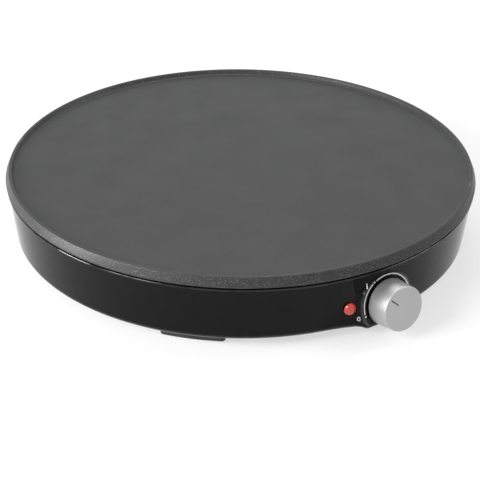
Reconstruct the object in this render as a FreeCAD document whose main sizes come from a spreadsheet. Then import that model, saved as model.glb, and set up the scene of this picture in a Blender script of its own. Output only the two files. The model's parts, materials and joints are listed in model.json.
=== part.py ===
import FreeCAD, Part
import math
import os
import re
import Sketcher

# Electric crepe maker. Millimetres, +Z up, table at z = 0, plate axis at x = y = 0, knob towards -Y.

V = FreeCAD.Vector
os.makedirs("parts", exist_ok=True)
doc = FreeCAD.newDocument("CrepeMaker")
sheet = doc.addObject("Spreadsheet::Sheet", "Sizes")

# Driving dimensions: every size that can be set by itself, in millimetres, degrees or counts.
sizes = {
    # cooking plate
    "plate_radius": "155",
    "crest_height": "50",
    "lip_draft": "2.3",
    "lip_drop": "5.2",
    "lip_width": "1.9",
    "lip_edge_round": "0.7",
    "lip_foot_round": "1.1",
    "dish_depth": "3",
    "dish_slope": "1.7",
    "dish_round": "2.2",
    "plate_thickness": "4.5",
    "rim_overhang": "5",
    "rim_thickness": "1.3",
    "rib_height": "2.6",
    "rib_width": "2",
    "lug_radius": "6",
    "lug_inset": "18",
    "lug_count": "3",
    # heater
    "heater_inset": "55",
    "tube_radius": "3.3",
    "tube_clearance": "0.3",
    "heater_gap_angle": "26",
    "heater_bend": "9",
    "heater_leg": "5",
    "pin_radius": "1.6",
    "pin_length": "7",
    "strap_count": "4",
    "strap_length": "27",
    "strap_width": "10",
    "strap_thickness": "1.2",
    "strap_lug_inset": "10",
    "strap_lug_radius": "4",
    # shield
    "shield_height": "30",
    "shield_thickness": "0.8",
    "shield_inset": "11",
    "shield_rise": "5",
    "shield_flare": "4",
    "shield_lip": "4",
    "leg_hole_clearance": "3.9",
    "spacer_wall": "1.6",
    # housing
    "bead_inset": "0.4",
    "bead_drop": "7.3",
    "bead_depth": "1.5",
    "bead_round": "0.8",
    "wall_top_inset": "1.1",
    "wall_foot_inset": "4.9",
    "wall_thickness": "2.6",
    "housing_foot": "5.5",
    "foot_edge_round": "3.4",
    "ledge_height": "8",
    "ledge_thickness": "2.5",
    "ledge_width": "13.1",
    "post_inset": "10.6",
    "post_radius": "4.4",
    "post_height": "14",
    "post_count": "6",
    # knob boss
    "knob_tilt": "9",
    "boss_stand": "4.2",
    "knob_height": "20.6",
    "boss_radius": "18.4",
    "boss_flare": "24",
    "boss_depth": "16",
    "boss_drop": "4.5",
    "boss_round": "8",
    "boss_edge": "1.2",
    "boss_wall": "2.4",
    "hollow_radius": "8.6",
    "hollow_past": "2.2",
    "shaft_hole_clearance": "1.6",
    # base cover
    "cover_thickness": "2",
    "cover_clearance": "0.4",
    "cover_rib_height": "3",
    "cover_rib_width": "2",
    "cover_rib_inset": "54.1",
    "slot_count": "24",
    "slot_length": "20",
    "slot_width": "3",
    "slot_inset": "42.1",
    "inner_slot_count": "12",
    "inner_slot_circle": "36",
    # screws
    "screw_radius": "1.5",
    "screw_head_radius": "3.2",
    "screw_head_height": "1.8",
    "screw_clearance": "0.25",
    "screw_drive_radius": "1.1",
    "screw_drive_depth": "1",
    "plate_screw_radius": "2",
    "plate_screw_head_radius": "3.9",
    "plate_screw_bite": "7",
    "base_screw_bite": "9",
    "short_screw_bite": "4",
    # feet
    "foot_angle": "15.8",
    "foot_azimuth": "45",
    "foot_inset": "4.7",
    "foot_depth": "14",
    "foot_clear": "0.8",
    "foot_round": "2.4",
    "foot_peg_radius": "2.5",
    "foot_peg_inset": "9",
    "foot_peg_angle": "4.6",
    "pad_margin": "1.8",
    "pad_sunk": "1.4",
    # knob
    "knob_base_radius": "14.6",
    "knob_face_radius": "13.8",
    "knob_length": "14.5",
    "knob_gap": "0.8",
    "knob_chamfer": "0.7",
    "cap_wall": "1",
    "cap_face_wall": "1.4",
    "pointer_angle": "47",
    "pointer_start": "5.2",
    "pointer_length": "7",
    "pointer_width": "0.9",
    "pointer_depth": "0.35",
    "hub_skirt": "1.6",
    "hub_disc": "2.4",
    "hub_stem_radius": "6",
    "hub_rib_width": "1.6",
    "hub_rib_count": "6",
    # shaft and thermostat, measured along the knob's axis from the boss face
    "shaft_radius": "3",
    "shaft_flat": "0.8",
    "shaft_fit": "0.05",
    "shaft_end": "11.5",
    "shaft_tip_radius": "1.2",
    "shaft_collar_radius": "4.2",
    "shaft_collar_length": "2.3",
    "shaft_collar_gap": "0.1",
    "spring_thickness": "0.4",
    "spring_length": "7",
    "spring_width": "3",
    "bracket_gap": "3.2",
    "bracket_thickness": "1.4",
    "bracket_width": "24",
    "bracket_drop": "8",
    "bracket_neck": "4",
    "bracket_screw_inset": "5",
    "bracket_screw_bite": "2.5",
    "bracket_foot": "14",
    "bush_radius": "4.8",
    "bush_flange_radius": "6.6",
    "bush_flange": "1.8",
    "bush_front": "2.6",
    "nut_flats": "13",
    "nut_thickness": "2.4",
    "frame_thickness": "1.5",
    "frame_width": "12",
    "frame_drop": "7",
    "frame_rise": "19",
    "stack_rise": "12.5",
    "ring_radius": "4.6",
    "ring_thickness": "3",
    "rivet_radius": "1.5",
    "leaf_thickness": "0.5",
    "leaf_width": "7",
    "leaf_drop": "9.5",
    "leaf_tail": "11",
    "bimetal_thickness": "1",
    # indicator
    "lens_azimuth": "8.9",
    "lens_height": "20.4",
    "lens_radius": "3.9",
    "lens_stem_radius": "3",
    "lens_dome": "1.5",
    "lens_flange": "0.7",
    "lens_stem": "9",
    "lens_fit": "0.1",
    "lamp_radius": "2.1",
    "lamp_length": "12",
    "holder_wall": "1",
    "holder_length": "8",
    # cord entry and terminals
    "gland_height": "20",
    "gland_radius": "7",
    "gland_flange_radius": "9.5",
    "gland_flange": "2.2",
    "gland_bore_radius": "3.7",
    "gland_inside": "6",
    "clamp_inset": "5",
    "clamp_width": "26",
    "clamp_depth": "8",
    "clamp_seat": "8",
    "clamp_bar": "5",
    "clamp_arch": "3.5",
    "clamp_screw_pitch": "18",
    "clamp_screw_bite": "5",
    "block_inset": "14",
    "block_width": "34",
    "block_depth": "14",
    "block_height": "13",
    "block_pitch": "10",
    "block_bore_radius": "1.8",
    # thermal fuse
    "fuse_circle": "42",
    "fuse_radius": "2.2",
    "fuse_length": "14",
    "fuse_lead_radius": "0.6",
    "fuse_lead_length": "7",
    "clip_width": "8",
    "clip_thickness": "0.8",
    "clip_tab": "9",
    # inner leads
    "lead_radius": "1.2",
    "lamp_lead_radius": "0.8",
    "lead_lane_inset": "17",
    "lamp_lane_inset": "24",
    "tag_inset": "12",
    "tag_radius": "4",
    "tag_thickness": "0.8",
}

for row, (name, text) in enumerate(sizes.items(), start=1):
    sheet.set("A%d" % row, name)
    sheet.set("B%d" % row, text)
    sheet.setAlias("B%d" % row, name)
doc.recompute()

# Sizes that follow from the ones above, so that the pieces stay together when a size is changed.
derived = {
    "bead_radius": "plate_radius - bead_inset",
    "bead_height": "crest_height - bead_drop",
    "wall_top_radius": "plate_radius - wall_top_inset",
    "wall_foot_radius": "plate_radius - wall_foot_inset",
    "wall_slope": "(wall_top_radius - wall_foot_radius) / (bead_height - bead_depth - housing_foot)",
    "ledge_radius": "wall_foot_radius - ledge_width",
    "post_circle": "wall_foot_radius - post_inset",
    "boss_reach": "wall_foot_radius + (knob_height - housing_foot) * wall_slope + boss_stand",
    "hollow_depth": "boss_stand + wall_thickness + hollow_past",
    "bracket_back": "boss_stand + wall_thickness + bracket_gap",
    "shaft_inner_end": "bracket_back + bracket_thickness + bush_flange"
                       " + shaft_collar_gap + shaft_collar_length",
    "cover_rib_circle": "wall_foot_radius - cover_rib_inset",
    "slot_circle": "wall_foot_radius - slot_inset",
    "foot_outer_radius": "wall_foot_radius - foot_inset",
    "foot_peg_circle": "foot_outer_radius - foot_peg_inset",
    "clamp_circle": "ledge_radius - clamp_inset",
    "block_circle": "clamp_circle - block_inset",
    "lead_lane": "ledge_radius - lead_lane_inset",
    "lamp_lane": "ledge_radius - lamp_lane_inset",
    "heater_circle": "plate_radius - heater_inset",
    "shield_radius": "ledge_radius - shield_inset",
    "tag_circle": "heater_circle - tag_inset",
    "lug_circle": "tag_circle - lug_inset",
}

FUNCTIONS = ("sin", "cos", "tan", "sqrt")
WORD = r"[a-z][a-z0-9_]*"


def in_full(text):
    """An expression with each derived size written out."""
    return re.sub(WORD, lambda m: "(%s)" % in_full(derived[m[0]]) if m[0] in derived else m[0], text)


def bound(text):
    """An expression for another object, with each size read from the sheet."""
    return re.sub(WORD, lambda m: m[0] if m[0] in FUNCTIONS else "Sizes." + m[0], in_full(text))


def val(text):
    """The present value of an expression of sizes."""
    return float(sheet.evalExpression(in_full(text)))


# Derived heights and radii that several pieces share, as expressions of the sizes above.
CREST_RADIUS = "(plate_radius - lip_draft)"
LIP_INNER = "(plate_radius - lip_draft - lip_width)"
DISH_HEIGHT = "(crest_height - dish_depth)"
PLATE_UNDER = "(crest_height - dish_depth - plate_thickness)"
TUBE_HEIGHT = "(crest_height - dish_depth - plate_thickness - tube_radius)"
STRAP_TOP = "(crest_height - dish_depth - plate_thickness - 2 * tube_radius)"
SHIELD_TOP = "(shield_height + shield_thickness)"
COVER_UNDER = "(ledge_height - cover_thickness)"
COVER_RADIUS = "(wall_foot_radius - wall_thickness - cover_clearance)"
STACK_BACK = "(bracket_back + bracket_thickness + bush_flange + frame_thickness)"


# Sketch and feature helpers.

def make_body(label):
    body = doc.addObject("PartDesign::Body", label)
    body.Label = label
    return body


def new_sketch(body, name, plane="XY_Plane", lift="0"):
    """A sketch on one of the body's origin planes, lifted along that plane's normal."""
    sketch = body.newObject("Sketcher::SketchObject", name)
    support = [f for f in body.Origin.OriginFeatures if f.Role == plane][0]
    sketch.AttachmentSupport = (support, [""])
    sketch.MapMode = "FlatFace"
    sketch.setExpression("AttachmentOffset.Base.z", bound(lift))
    return sketch


def hold(sketch, kind, *rest):
    """Adds a dimension whose last argument is an expression of sizes."""
    index = sketch.addConstraint(Sketcher.Constraint(kind, *rest[:-1], val(rest[-1])))
    sketch.setExpression("Constraints[%d]" % index, bound(rest[-1]))


def corner_cut(before, corner, after, radius):
    """Where a round of this radius leaves the two lines that meet at a corner, and its centre."""
    into = (before - corner).normalize()
    out = (after - corner).normalize()
    half = into.getAngle(out) / 2
    reach = radius / math.tan(half)
    middle = (into + out).normalize()
    return corner + into * reach, corner + out * reach, corner + middle * (radius / math.sin(half))


def outline(sketch, points):
    """A closed outline through points (x, y) or (x, y, round), all given as expressions."""
    places = [V(val(p[0]), val(p[1]), 0) for p in points]
    count = len(points)
    starts = list(places)
    ends = list(places)
    centres = {}
    for i, point in enumerate(points):
        if len(point) == 3:
            cut = corner_cut(places[i - 1], places[i], places[(i + 1) % count], val(point[2]))
            ends[i], starts[i], centres[i] = cut
    lines = [
        sketch.addGeometry(Part.LineSegment(starts[i], ends[(i + 1) % count]), False) for i in range(count)
    ]
    for i, point in enumerate(points):
        before, after = lines[i - 1], lines[i]
        if i in centres:
            dot = sketch.addGeometry(Part.Point(places[i]), True)
            sketch.addConstraint(Sketcher.Constraint("PointOnObject", dot, 1, before))
            sketch.addConstraint(Sketcher.Constraint("PointOnObject", dot, 1, after))
            round_corner(sketch, ends[i], starts[i], centres[i], before, after, point[2])
            hold(sketch, "DistanceX", -1, 1, dot, 1, point[0])
            hold(sketch, "DistanceY", -1, 1, dot, 1, point[1])
        else:
            sketch.addConstraint(Sketcher.Constraint("Coincident", before, 2, after, 1))
            hold(sketch, "DistanceX", -1, 1, after, 1, point[0])
            hold(sketch, "DistanceY", -1, 1, after, 1, point[1])


def round_corner(sketch, first, last, centre, before, after, radius):
    """An arc tangent to two lines of a sketch, from the end of one to the start of the next."""
    turn = (first - centre).cross(last - centre).z
    begin, finish = (first, last) if turn > 0 else (last, first)
    circle = Part.Circle(centre, V(0, 0, 1), val(radius))
    low = math.atan2(begin.y - centre.y, begin.x - centre.x)
    high = math.atan2(finish.y - centre.y, finish.x - centre.x)
    arc = sketch.addGeometry(Part.ArcOfCircle(circle, low, high), False)
    near, far = (1, 2) if turn > 0 else (2, 1)
    sketch.addConstraint(Sketcher.Constraint("Tangent", before, 2, arc, near))
    sketch.addConstraint(Sketcher.Constraint("Tangent", arc, far, after, 1))
    hold(sketch, "Radius", arc, radius)


def ring_shape(sketch, x, y, radius):
    """A circle of a sketch, its centre and radius given as expressions."""
    circle = sketch.addGeometry(Part.Circle(V(val(x), val(y), 0), V(0, 0, 1), val(radius)), False)
    hold(sketch, "Radius", circle, radius)
    if (x, y) == ("0", "0"):
        sketch.addConstraint(Sketcher.Constraint("Coincident", circle, 3, -1, 1))
        return
    hold(sketch, "DistanceX", -1, 1, circle, 3, x)
    hold(sketch, "DistanceY", -1, 1, circle, 3, y)


def box_shape(sketch, left, right, low, high):
    outline(sketch, [(left, low), (right, low), (right, high), (left, high)])


def extrude(body, kind, name, sketch, length, reverse=False):
    """A Pad or Pocket of a sketch over a length."""
    feature = body.newObject("PartDesign::" + kind, name)
    feature.Profile = sketch
    feature.setExpression("Length", bound(length))
    feature.Reversed = reverse
    return feature


def revolve(body, kind, name, points, angle="360", plane="XZ_Plane"):
    """A Revolution or Groove of an outline of (radius, height) about the body's Z axis."""
    sketch = new_sketch(body, name + "Sketch", plane)
    outline(sketch, points)
    feature = body.newObject("PartDesign::" + kind, name)
    feature.Profile = sketch
    feature.ReferenceAxis = (sketch, ["V_Axis"])
    feature.setExpression("Angle", bound(angle))
    feature.Midplane = angle != "360"
    return feature


def disc(body, name, x, y, radius, low, high, cut=False):
    """A round pad or pocket from one height to another."""
    sketch = new_sketch(body, name + "Sketch", lift=low)
    ring_shape(sketch, x, y, radius)
    return extrude(body, "Pocket" if cut else "Pad", name, sketch, "%s - (%s)" % (high, low), cut)


def block(body, name, left, right, near, far, low, high, cut=False):
    """A rectangular pad or pocket from one height to another."""
    sketch = new_sketch(body, name + "Sketch", lift=low)
    box_shape(sketch, left, right, near, far)
    return extrude(body, "Pocket" if cut else "Pad", name, sketch, "%s - (%s)" % (high, low), cut)


def around(body, name, features, count, angle=360.0):
    """Repeats features about the body's Z axis; the count is an expression."""
    pattern = body.newObject("PartDesign::PolarPattern", name)
    axis = [f for f in body.Origin.OriginFeatures if f.Role == "Z_Axis"][0]
    pattern.Originals = features
    pattern.Axis = (axis, [""])
    pattern.Angle = angle
    pattern.setExpression("Occurrences", bound(count))
    body.Tip = pattern
    doc.recompute()
    return pattern


def turn(body, azimuth):
    """Turns a body about the plate's axis."""
    body.Placement.Rotation = FreeCAD.Rotation(V(0, 0, 1), val(azimuth))


def on_knob_axis(part):
    """Puts a piece in the knob's frame: X right, Y up the boss face, Z outwards along the shaft."""
    part.Placement.Rotation = FreeCAD.Rotation(V(1, 0, 0), 80)
    part.setExpression("Placement.Base.y", bound("-boss_reach"))
    part.setExpression("Placement.Base.z", bound("knob_height"))
    part.setExpression("Placement.Rotation.Angle", bound("90 - knob_tilt"))


def edges_where(shape, test):
    """Names of the edges whose every point passes a test."""
    names = []
    for i, edge in enumerate(shape.Edges, start=1):
        ends = [edge.valueAt(edge.FirstParameter + (edge.LastParameter - edge.FirstParameter) * k / 4)
                for k in range(5)]
        if all(test(p) for p in ends):
            names.append("Edge%d" % i)
    return names


def dress(body, kind, name, base, test, size):
    """A Fillet or Chamfer on the edges of a feature that pass a test."""
    doc.recompute()
    feature = body.newObject("PartDesign::" + kind, name)
    feature.Base = (base, edges_where(base.Shape, test))
    feature.setExpression("Radius" if kind == "Fillet" else "Size", bound(size))
    doc.recompute()
    return feature


def near(value, target, slack=0.02):
    return abs(value - target) < slack


# Cooking plate.

def make_griddle_plate():
    """A cast dish: raised lip, drafted outer wall, rounded foot, and ribs and lugs underneath."""
    body = make_body("griddle_plate")
    wall_foot = "crest_height - lip_drop"
    rim_under = "crest_height - lip_drop - rim_thickness"
    revolve(body, "Revolution", "Dish", [
        ("0", PLATE_UNDER),
        ("plate_radius - rim_overhang - 1.5", PLATE_UNDER),
        ("plate_radius - rim_overhang", rim_under, "0.6"),
        ("plate_radius - 0.5", rim_under, "lip_foot_round"),
        ("plate_radius", wall_foot, "0.6"),
        (CREST_RADIUS, "crest_height", "lip_edge_round"),
        (LIP_INNER, "crest_height", "lip_edge_round"),
        (LIP_INNER + " - dish_slope", DISH_HEIGHT, "dish_round"),
        ("0", DISH_HEIGHT),
    ])
    inner = "heater_circle - tube_radius - tube_clearance"
    outer = "heater_circle + tube_radius + tube_clearance"
    rib_low = PLATE_UNDER + " - rib_height"
    for name, first, last in (
        ("InnerRib", inner + " - rib_width", inner),
        ("OuterRib", outer, outer + " + rib_width"),
    ):
        revolve(body, "Revolution", name, [
            (first, rib_low), (last, rib_low),
            (last, PLATE_UNDER + " + 0.5"), (first, PLATE_UNDER + " + 0.5"),
        ])
    lug = disc(body, "Lug", "0", "lug_circle", "lug_radius", SHIELD_TOP, PLATE_UNDER + " + 0.5")
    around(body, "Lugs", [lug], "lug_count")
    bore = disc(body, "LugBore", "0", "lug_circle", "plate_screw_radius", SHIELD_TOP,
                SHIELD_TOP + " + plate_screw_bite", cut=True)
    around(body, "LugBores", [bore], "lug_count")
    strap_lug = disc(body, "StrapLug", STRAP_X, STRAP_Y, "strap_lug_radius", STRAP_TOP,
                     PLATE_UNDER + " + 0.5")
    around(body, "StrapLugs", [strap_lug], "strap_count")
    strap_bore = disc(body, "StrapBore", STRAP_X, STRAP_Y, "screw_radius", STRAP_TOP,
                      STRAP_TOP + " + short_screw_bite", cut=True)
    around(body, "StrapBores", [strap_bore], "strap_count")
    extra_lugs(body)
    return body


# The straps stand at 45 degrees, clear of the plate lugs and the thermostat.
STRAP_RADIUS = "(heater_circle - strap_lug_inset - tube_radius)"
STRAP_X = STRAP_RADIUS + " * cos(45)"
STRAP_Y = STRAP_RADIUS + " * sin(45)"

# Where the thermostat bracket and the fuse clip are screwed to the plate.
BRACKET_TOP = "((%s - knob_height) / cos(knob_tilt) - bracket_neck)" % PLATE_UNDER
BRACKET_SCREW_X = "(bracket_width / 2 - bracket_screw_inset)"
BRACKET_SCREW_Y = ("(%s * sin(knob_tilt) + (bracket_back + bracket_thickness) * cos(knob_tilt)"
                   " + bracket_foot - bracket_screw_inset - boss_reach)") % BRACKET_TOP
FUSE_LUG_X = "(fuse_radius + clip_tab / 2)"
CLIP_UNDER = "(%s - 2 * fuse_radius - clip_thickness - 0.15)" % PLATE_UNDER


def extra_lugs(body):
    """The lug for the fuse clip and the blind holes for the thermostat bracket's screws."""
    low = PLATE_UNDER + " - 2 * fuse_radius"
    disc(body, "FuseLug", FUSE_LUG_X, "-fuse_circle", "strap_lug_radius", low, PLATE_UNDER + " + 0.5")
    disc(body, "FuseLugBore", FUSE_LUG_X, "-fuse_circle", "screw_radius", low, low + " + short_screw_bite",
         cut=True)
    for name, side in (("Left", "-"), ("Right", "")):
        disc(body, "BracketHole" + name, side + BRACKET_SCREW_X, BRACKET_SCREW_Y, "screw_radius",
             PLATE_UNDER, PLATE_UNDER + " + bracket_screw_bite + 0.3", cut=True)


def make_heating_element():
    """An open ring of sheathed tube whose ends bend down towards the terminals."""
    ring = val("heater_circle")
    tube = val("tube_radius")
    bend = val("heater_bend")
    height = val(TUBE_HEIGHT) - 0.05
    half = math.radians(val("heater_gap_angle") / 2)
    start = V(-ring * math.sin(half), ring * math.cos(half), height)
    front = V(0, -ring, height)
    finish = V(-start.x, start.y, height)
    along = V(math.cos(half), math.sin(half), 0)
    mirrored = V(-along.x, along.y, 0)
    down = V(0, 0, -1)
    edges = []
    for end, way in ((start, along), (finish, mirrored)):
        centre = end + down * bend
        foot = centre + way * bend
        middle = centre + (way - down) * (bend / math.sqrt(2))
        leg = foot + down * val("heater_leg")
        edges.append([Part.Arc(end, middle, foot).toShape(), Part.LineSegment(foot, leg).toShape()])
    ring_edge = Part.Arc(start, front, finish).toShape()
    wire = Part.Wire([edges[0][1], edges[0][0], ring_edge, edges[1][0], edges[1][1]])
    leg_end = edges[0][1].Vertexes[1].Point
    profile = Part.Wire(Part.Circle(leg_end, V(0, 0, 1), tube).toShape())
    element = doc.addObject("Part::Feature", "heating_element")
    element.Label = "heating_element"
    element.Shape = wire.makePipeShell([profile], True, True)
    element.Placement = FreeCAD.Placement()
    return element, [leg_end, edges[1][1].Vertexes[1].Point]


PIN_TAB = V(4.8, 0.8, 6)  # width, thickness and length of a push-on tab


def make_element_pins(ends):
    """Cold pins with flat tabs below the two tube ends."""
    solids = []
    for end in ends:
        pin = Part.makeCylinder(val("pin_radius"), val("pin_length"), end, V(0, 0, -1))
        corner = end + V(-PIN_TAB.x / 2, -PIN_TAB.y / 2, 1 - val("pin_length") - PIN_TAB.z)
        tab = Part.makeBox(PIN_TAB.x, PIN_TAB.y, PIN_TAB.z, corner)
        solids.append(pin.fuse(tab))
    pins = doc.addObject("Part::Feature", "element_pins")
    pins.Label = "element_pins"
    pins.Shape = Part.makeCompound(solids)
    pins.Placement = FreeCAD.Placement()
    return pins


def make_element_straps():
    """Flat straps under the tube, screwed to lugs just inside the ring."""
    body = make_body("element_straps")
    start = STRAP_RADIUS + " - strap_width / 2"
    strap = block(body, "Strap", start, start + " + strap_length", "-strap_width / 2", "strap_width / 2",
                  STRAP_TOP + " - strap_thickness - 0.1", STRAP_TOP + " - 0.1")
    hole = disc(body, "StrapHole", STRAP_RADIUS, "0", "screw_radius + screw_clearance",
                STRAP_TOP + " - strap_thickness - 0.1", STRAP_TOP + " - 0.1", cut=True)
    around(body, "Straps", [strap, hole], "strap_count")
    turn(body, "45")
    return body


def screws_up(label, circle, low, bite, count, radius="screw_radius", head="screw_head_radius", azimuth="0"):
    """Round-head screws that point up, on a circle about the plate's axis, from +X."""
    body = make_body(label)
    head_low = low + " - screw_head_height"
    cap = disc(body, "Head", circle, "0", head, head_low, low)
    drive = disc(body, "Drive", circle, "0", "screw_drive_radius", head_low,
                 head_low + " + screw_drive_depth", cut=True)
    shank = disc(body, "Shank", circle, "0", radius + " - 0.05", low, low + " + " + bite)
    around(body, "Screws", [cap, drive, shank], count)
    turn(body, azimuth)
    return body


def make_heat_shield():
    """A pressed pan with a flared rim, holes for the lugs' screws and for the heater's legs."""
    body = make_body("heat_shield")
    base = "shield_radius - shield_flare"
    top = SHIELD_TOP + " + shield_rise"
    revolve(body, "Revolution", "Pan", [
        ("0", "shield_height"),
        (base + " + 0.4", "shield_height"),
        ("shield_radius + 0.4", top + " - shield_thickness"),
        ("shield_radius + shield_lip", top + " - shield_thickness"),
        ("shield_radius + shield_lip", top),
        ("shield_radius - 0.2", top),
        (base + " - 0.2", SHIELD_TOP),
        ("0", SHIELD_TOP),
    ])
    hole = disc(body, "ScrewHole", "0", "lug_circle", "plate_screw_radius + screw_clearance",
                "shield_height", SHIELD_TOP, cut=True)
    around(body, "ScrewHoles", [hole], "lug_count")
    across = "(heater_circle * sin(heater_gap_angle / 2) - heater_bend * cos(heater_gap_angle / 2))"
    back = "(heater_circle * cos(heater_gap_angle / 2) + heater_bend * sin(heater_gap_angle / 2))"
    for name, x in (("LegHoleRight", across), ("LegHoleLeft", "-" + across)):
        disc(body, name, x, back, "tube_radius + leg_hole_clearance", "shield_height", SHIELD_TOP, cut=True)
    disc(body, "TagHole", "0", "tag_circle", "screw_radius", "shield_height", SHIELD_TOP, cut=True)
    return body


def make_shield_spacers():
    """Tubes that carry the shield and the plate on the base cover."""
    body = make_body("shield_spacers")
    outer = "plate_screw_radius + screw_clearance + spacer_wall"
    tube = disc(body, "Tube", "lug_circle", "0", outer, "ledge_height", "shield_height")
    bore = disc(body, "Bore", "lug_circle", "0", "plate_screw_radius + screw_clearance", "ledge_height",
                "shield_height", cut=True)
    around(body, "Tubes", [tube, bore], "lug_count")
    turn(body, "90")
    return body


# Housing and base.

def boss_sketch(body, name, radius, depth):
    """A circle about the knob's axis, at a depth behind the boss face."""
    sketch = body.newObject("Sketcher::SketchObject", name)
    support = [f for f in body.Origin.OriginFeatures if f.Role == "XY_Plane"][0]
    sketch.AttachmentSupport = (support, [""])
    sketch.MapMode = "FlatFace"
    sketch.AttachmentOffset = FreeCAD.Placement(V(0, 0, 0), FreeCAD.Rotation(V(1, 0, 0), 80))
    sketch.setExpression("AttachmentOffset.Rotation.Angle", bound("90 - knob_tilt"))
    sketch.setExpression("AttachmentOffset.Base.y", bound("-boss_reach + (%s) * cos(knob_tilt)" % depth))
    sketch.setExpression("AttachmentOffset.Base.z", bound("knob_height - (%s) * sin(knob_tilt)" % depth))
    ring_shape(sketch, "0", "0", radius)
    return sketch


TRIM_REACH = "60"  # half width and depth of the cuts that trim the boss


def boss_form(body):
    """The flared boss: a flat face, a chamfered edge and a hollow curve out to the wall."""
    sketch = body.newObject("Sketcher::SketchObject", "BossSketch")
    support = [f for f in body.Origin.OriginFeatures if f.Role == "XY_Plane"][0]
    sketch.AttachmentSupport = (support, [""])
    sketch.MapMode = "FlatFace"
    sketch.AttachmentOffset = FreeCAD.Placement(V(0, 0, 0), FreeCAD.Rotation(V(1, 0, 0), 170))
    sketch.setExpression("AttachmentOffset.Rotation.Angle", bound("180 - knob_tilt"))
    sketch.setExpression("AttachmentOffset.Base.y", bound("-boss_reach"))
    sketch.setExpression("AttachmentOffset.Base.z", bound("knob_height"))
    outline(sketch, [
        ("0", "0"),
        ("boss_radius - boss_edge", "0"),
        ("boss_radius", "-boss_edge * 0.7"),
        ("boss_radius + 1", "-boss_drop", "boss_round"),
        ("boss_radius + boss_flare", "-boss_depth"),
        ("boss_radius + boss_flare", "-boss_depth - 3"),
        ("0", "-boss_depth - 3"),
    ])
    boss = body.newObject("PartDesign::Revolution", "Boss")
    boss.Profile = sketch
    boss.ReferenceAxis = (sketch, ["V_Axis"])
    boss.Angle = 360
    doc.recompute()
    return boss


def make_housing():
    """A moulded ring: rim bead, drafted wall, rounded foot, tilted knob boss, ledge and screw posts."""
    body = make_body("housing")
    wall_top = "bead_height - bead_depth"
    revolve(body, "Revolution", "OuterForm", [
        ("0", "housing_foot"),
        ("wall_foot_radius", "housing_foot", "foot_edge_round"),
        ("wall_top_radius", wall_top),
        ("bead_radius", wall_top + " + 0.3"),
        ("bead_radius", "bead_height", "bead_round"),
        ("bead_radius - 2", "bead_height"),
        ("0", "bead_height"),
    ])
    boss_form(body)
    trim = new_sketch(body, "BossTrimSketch", lift="housing_foot - %s" % TRIM_REACH)
    box_shape(trim, "-" + TRIM_REACH, TRIM_REACH, "-boss_reach - 20", "-40")
    extrude(body, "Pocket", "BossTrim", trim, TRIM_REACH, True)
    doc.recompute()
    top = new_sketch(body, "BossTopSketch", lift="bead_height")
    ring_shape(top, "0", "0", "boss_reach + 30")
    extrude(body, "Pocket", "BossTop", top, "40", True)
    inner_foot = "wall_foot_radius - wall_thickness"
    revolve(body, "Groove", "Cavity", [
        ("0", "ledge_height + ledge_thickness"),
        (inner_foot + " + (ledge_height + ledge_thickness - housing_foot) * wall_slope",
         "ledge_height + ledge_thickness"),
        ("wall_top_radius - wall_thickness", wall_top),
        ("wall_top_radius - wall_thickness + 0.7", "bead_height + 1"),
        ("0", "bead_height + 1"),
    ])
    revolve(body, "Groove", "CoverRecess", [
        ("0", "housing_foot - 1"),
        (inner_foot, "housing_foot - 1"),
        (inner_foot, "ledge_height"),
        ("ledge_radius", "ledge_height"),
        ("ledge_radius", "ledge_height + ledge_thickness + 1"),
        ("0", "ledge_height + ledge_thickness + 1"),
    ])
    shaft = boss_sketch(body, "ShaftHoleSketch", "shaft_radius + shaft_hole_clearance + 1", "-1")
    extrude(body, "Pocket", "ShaftHole", shaft, "30")
    boss_hollow(body)
    add_posts(body)
    lens_hole(body)
    gland_hole(body)
    return body


def boss_hollow(body):
    """The round pocket behind the boss face, so that the wall there is no thicker than the rest."""
    hollow = boss_sketch(body, "BossHollowSketch", "hollow_radius", "hollow_depth")
    extrude(body, "Pocket", "BossHollow", hollow, "hollow_depth - boss_wall", True)
    doc.recompute()


def add_posts(body):
    """Screw posts on the ledge, with their pilot holes."""
    post = disc(body, "Post", "post_circle", "0", "post_radius",
                "ledge_height", "ledge_height + post_height")
    around(body, "Posts", [post], "post_count")
    pilot = disc(body, "Pilot", "post_circle", "0", "screw_radius",
                 "ledge_height", "ledge_height + base_screw_bite + 1", cut=True)
    around(body, "Pilots", [pilot], "post_count")


def radial_sketch(body, name, azimuth, reach, height):
    """A sketch whose normal points outwards at an azimuth from the knob's side, at a reach and height."""
    sketch = body.newObject("Sketcher::SketchObject", name)
    support = [f for f in body.Origin.OriginFeatures if f.Role == "XY_Plane"][0]
    sketch.AttachmentSupport = (support, [""])
    sketch.MapMode = "FlatFace"
    upright = FreeCAD.Rotation(V(1, 0, 0), 90)
    around_axis = FreeCAD.Rotation(V(0, 0, 1), val(azimuth))
    place = around_axis.multVec(V(0, -val(reach), val(height)))
    sketch.AttachmentOffset = FreeCAD.Placement(place, around_axis.multiply(upright))
    return sketch


def lens_hole(body):
    """The hole for the indicator lens and a flat for its flange."""
    hole = radial_sketch(body, "LensHoleSketch", "-lens_azimuth", "boss_reach", "lens_height")
    ring_shape(hole, "0", "0", "lens_stem_radius + lens_fit")
    extrude(body, "Pocket", "LensHole", hole, "24")
    flat = radial_sketch(body, "LensFlatSketch", "-lens_azimuth", "boss_reach + 4", "lens_height")
    ring_shape(flat, "0", "0", "lens_radius + lens_fit")
    extrude(body, "Pocket", "LensFlat", flat, "boss_reach + 4 - (%s)" % LENS_SEAT)
    doc.recompute()


LENS_SEAT = "(wall_foot_radius + (lens_height - housing_foot) * wall_slope + 0.5)"
GLAND_SEAT = "(wall_foot_radius + (gland_height - housing_foot) * wall_slope)"


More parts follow.
